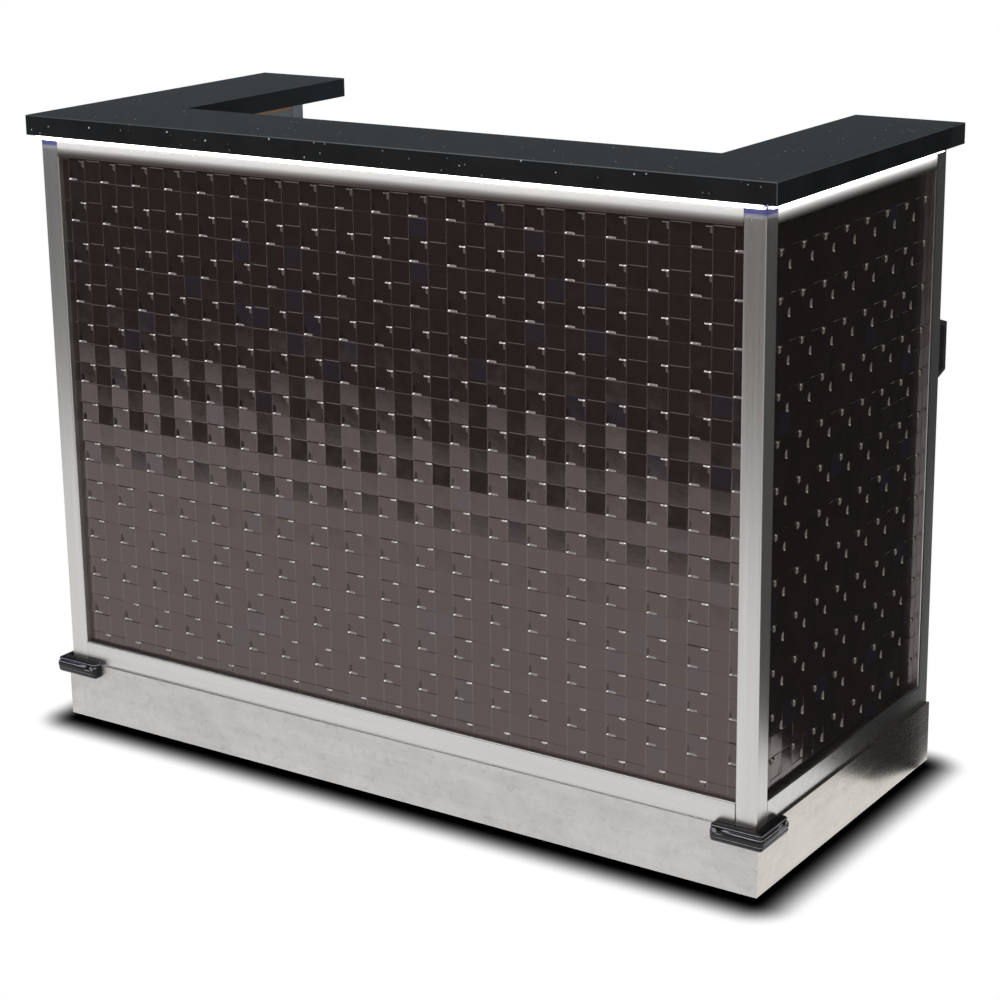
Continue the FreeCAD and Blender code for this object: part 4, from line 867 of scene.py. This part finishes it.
def bore(piece, spot, axis):
    """Cut a round well for a screw's head into a piece."""
    shape = bmesh.new()
    bmesh.ops.create_cone(shape, cap_ends=True, segments=32, radius1=WELL_RADIUS,
                          radius2=WELL_RADIUS, depth=2 * WELL_DEPTH)
    mesh = bpy.data.meshes.new("well")
    shape.to_mesh(mesh)
    shape.free()
    cutter = bpy.data.objects.new("well", mesh)
    bpy.context.scene.collection.objects.link(cutter)
    cutter.location = spot
    cutter.rotation_euler = (math.pi / 2, 0, 0) if axis == "Y" else (0, math.pi / 2, 0)
    cut = piece.modifiers.new("well", "BOOLEAN")
    cut.operation = "DIFFERENCE"
    cut.solver = "EXACT"
    cut.object = cutter
    bpy.context.view_layer.update()
    depsgraph = bpy.context.evaluated_depsgraph_get()
    result = bpy.data.meshes.new_from_object(piece.evaluated_get(depsgraph))
    piece.modifiers.clear()
    piece.data = result
    bpy.data.objects.remove(cutter)


# Light line

COVER = 0.7 * MM  # how far the cover stands out of the channel, outside and below
COVER_WIDTH = 10 * MM  # width of its underside
COVER_ROUND = 1.2 * MM  # size of its rounded lower edge
COVER_BEVEL = 0.35 * MM  # how far the middle of that edge lies in from both faces
COVER_LIP = 1.2 * MM  # how far its underside reaches up into the lens's place
COVER_GAP = 0.2 * MM  # between its top and the counter


def make_light_line():
    """A milky cover round the outside and underside of each light channel, up to the corners."""
    finish = glow()
    lens_low = Vector(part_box("led_lenses")[0])
    channel_low, channel_high = (Vector(corner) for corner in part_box("led_channels"))
    post_low, post_high = (Vector(corner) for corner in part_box("post_front_right"))
    end = post_high.x
    run_front = post_low.y
    run_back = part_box("post_rear_right")[0][1]
    outer_front = channel_low.y - COVER
    outer_side = channel_high.x + COVER
    top = channel_high.z - COVER_GAP
    under = channel_low.z - COVER
    lip = lens_low.z + COVER_LIP
    section = [(0, top), (0, under + COVER_ROUND), (COVER_BEVEL, under + COVER_BEVEL),
               (COVER_ROUND, under), (COVER_WIDTH, under), (COVER_WIDTH, lip), (COVER, lip),
               (COVER, top)]
    points, faces = [], []

    def sweep(make_point, start, stop, flip):
        """Add a straight run of the cover; flip turns its faces outward where they aren't."""
        first, count = len(points), len(section)
        second = first + count
        for place_at in (start, stop):
            points.extend(make_point(inward, level, place_at) for inward, level in section)
        sides = [(first + index, second + index, second + (index + 1) % count,
                  first + (index + 1) % count) for index in range(count)]
        caps = [tuple(range(first, second))[::-1], tuple(range(second, second + count))]
        faces.extend(face[::-1] if flip else face for face in sides + caps)

    sweep(lambda inward, level, run: (run, outer_front + inward, level), -end, end, False)
    for sign in (1, -1):
        sweep(lambda inward, level, run: (sign * (outer_side - inward), run, level),
              run_front, run_back, sign > 0)
    piece = make_mesh("light_cover", points, faces, [finish])
    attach(piece, BODY)
    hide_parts("led_lenses")


# Finishes of the CAD pieces

def dress(finish, *nodes):
    """Give CAD pieces a finish."""
    for name in nodes:
        thing = NODES[name]
        if not thing.material_slots:
            thing.data.materials.append(finish)
        for slot in thing.material_slots:
            slot.material = finish


def dress_all():
    """Each CAD piece's finish."""
    upright = stainless("steel_upright", 2)
    # The front posts' tops get a painted violet glow from the light line's ends
    corner = stainless("steel_corner", 2, metallic=0.92,
                       lit=(1.117, 1.127, (0.055, 0.055, 0.16)))
    across = stainless("steel_across", 0)
    inward = stainless("steel_inward", 1)
    # The top rails get the light line's glow painted into their colour, up to near white on the side
    # rails; below it they keep a dark brown steel colour
    rail = stainless("steel_top_rail", 0, (0.07, 0.052, 0.046), (0.36, 0.5), metallic=0.6,
                     lit=(1.1075, 1.1225, (0.42, 0.412, 0.4)), glowing_power=1.5)
    side_rail = stainless("steel_side_rail", 1, (0.035, 0.03, 0.028), (0.36, 0.5), metallic=0.6,
                          lit=(1.106, 1.126, (0.95, 0.94, 0.93)), glowing_power=1.4)
    skirt = stainless("steel_skirt", 0, (0.62, 0.61, 0.6), (0.3, 0.42), 0.55)
    side_skirt = stainless("steel_side_skirt", 1, (0.64, 0.6, 0.55), (0.22, 0.28), 0.4)
    sheet = stainless("steel_sheet", 0, (0.6, 0.6, 0.59), (0.26, 0.38), 0.35)
    dress(stone(), "countertop")
    dress(corner, "post_front_left", "post_front_right")
    dress(upright, "post_rear_left", "post_rear_right", "inner_posts", "wall_end_strips")
    dress(rail, "top_rail_front")
    dress(side_rail, "side_top_rails")
    dress(across, "bottom_rails", "bottle_rail", "cover_guides", "ice_bin_cover")
    dress(inward, "shelf_bearers")
    dress(skirt, "skirt_front")
    dress(side_skirt, "skirt_left", "skirt_right")
    dress(sheet, "liner_front", "side_liners", "work_deck", "ice_bin_liner")
    dress(plywood(), "base_deck", "middle_shelf", "top_core", "panel_backers")
    dress(timber(), "top_cleats", "wall_studs")
    black = moulded("black_plastic", (0.022, 0.022, 0.024), 0.36, 0.00003)
    dress(black, "handle_left", "handle_right", "switch_housing", "switch_rocker",
          "brake_pedal_left", "brake_pedal_right")
    dress(inlet_plastic(), "power_inlet")
    dress(plated("screw_plating", (0.24, 0.24, 0.235), (0.17, 0.17, 0.165)), "trim_screws")
    dress(stainless("light_channel", 0, (0.75, 0.76, 0.78), (0.28, 0.4)), "led_channels")
    dress(moulded("driver_paint", (0.62, 0.62, 0.6), 0.42, 0.00004), "led_driver")
    dress(foam(), "ice_bin_foam")
    dress(plated("cast_brass", (0.72, 0.5, 0.2), (0.55, 0.36, 0.13), scale=90), "drain_valve")
    dress(moulded("lever_paint", (0.5, 0.03, 0.02), 0.25, 0.00002), "drain_lever")
    zinc = plated("zinc_plating", (0.62, 0.62, 0.6), (0.5, 0.49, 0.42), 0.32)
    hub = moulded("hub_plastic", (0.055, 0.055, 0.06), 0.42, 0.00003)
    tyre = moulded("tyre_rubber", (0.035, 0.035, 0.037), 0.62, 0.00008, 500)
    dress(zinc, "caster_plates")
    for place_name in ("front_left", "front_right", "rear_left", "rear_right"):
        dress(zinc, f"caster_fork_{place_name}")
        dress(hub, f"wheel_hub_{place_name}")
        dress(tyre, f"wheel_tyre_{place_name}")


make_camera()
make_world()
make_stage()
make_panels()
painted_highlight_rubber = rubber_with_painted_highlights()
bumper("right", 1, painted_highlight_rubber)
bumper("left", -1, painted_highlight_rubber)
make_light_line()
dress_all()
bpy.context.scene.view_settings.view_transform = "Standard"
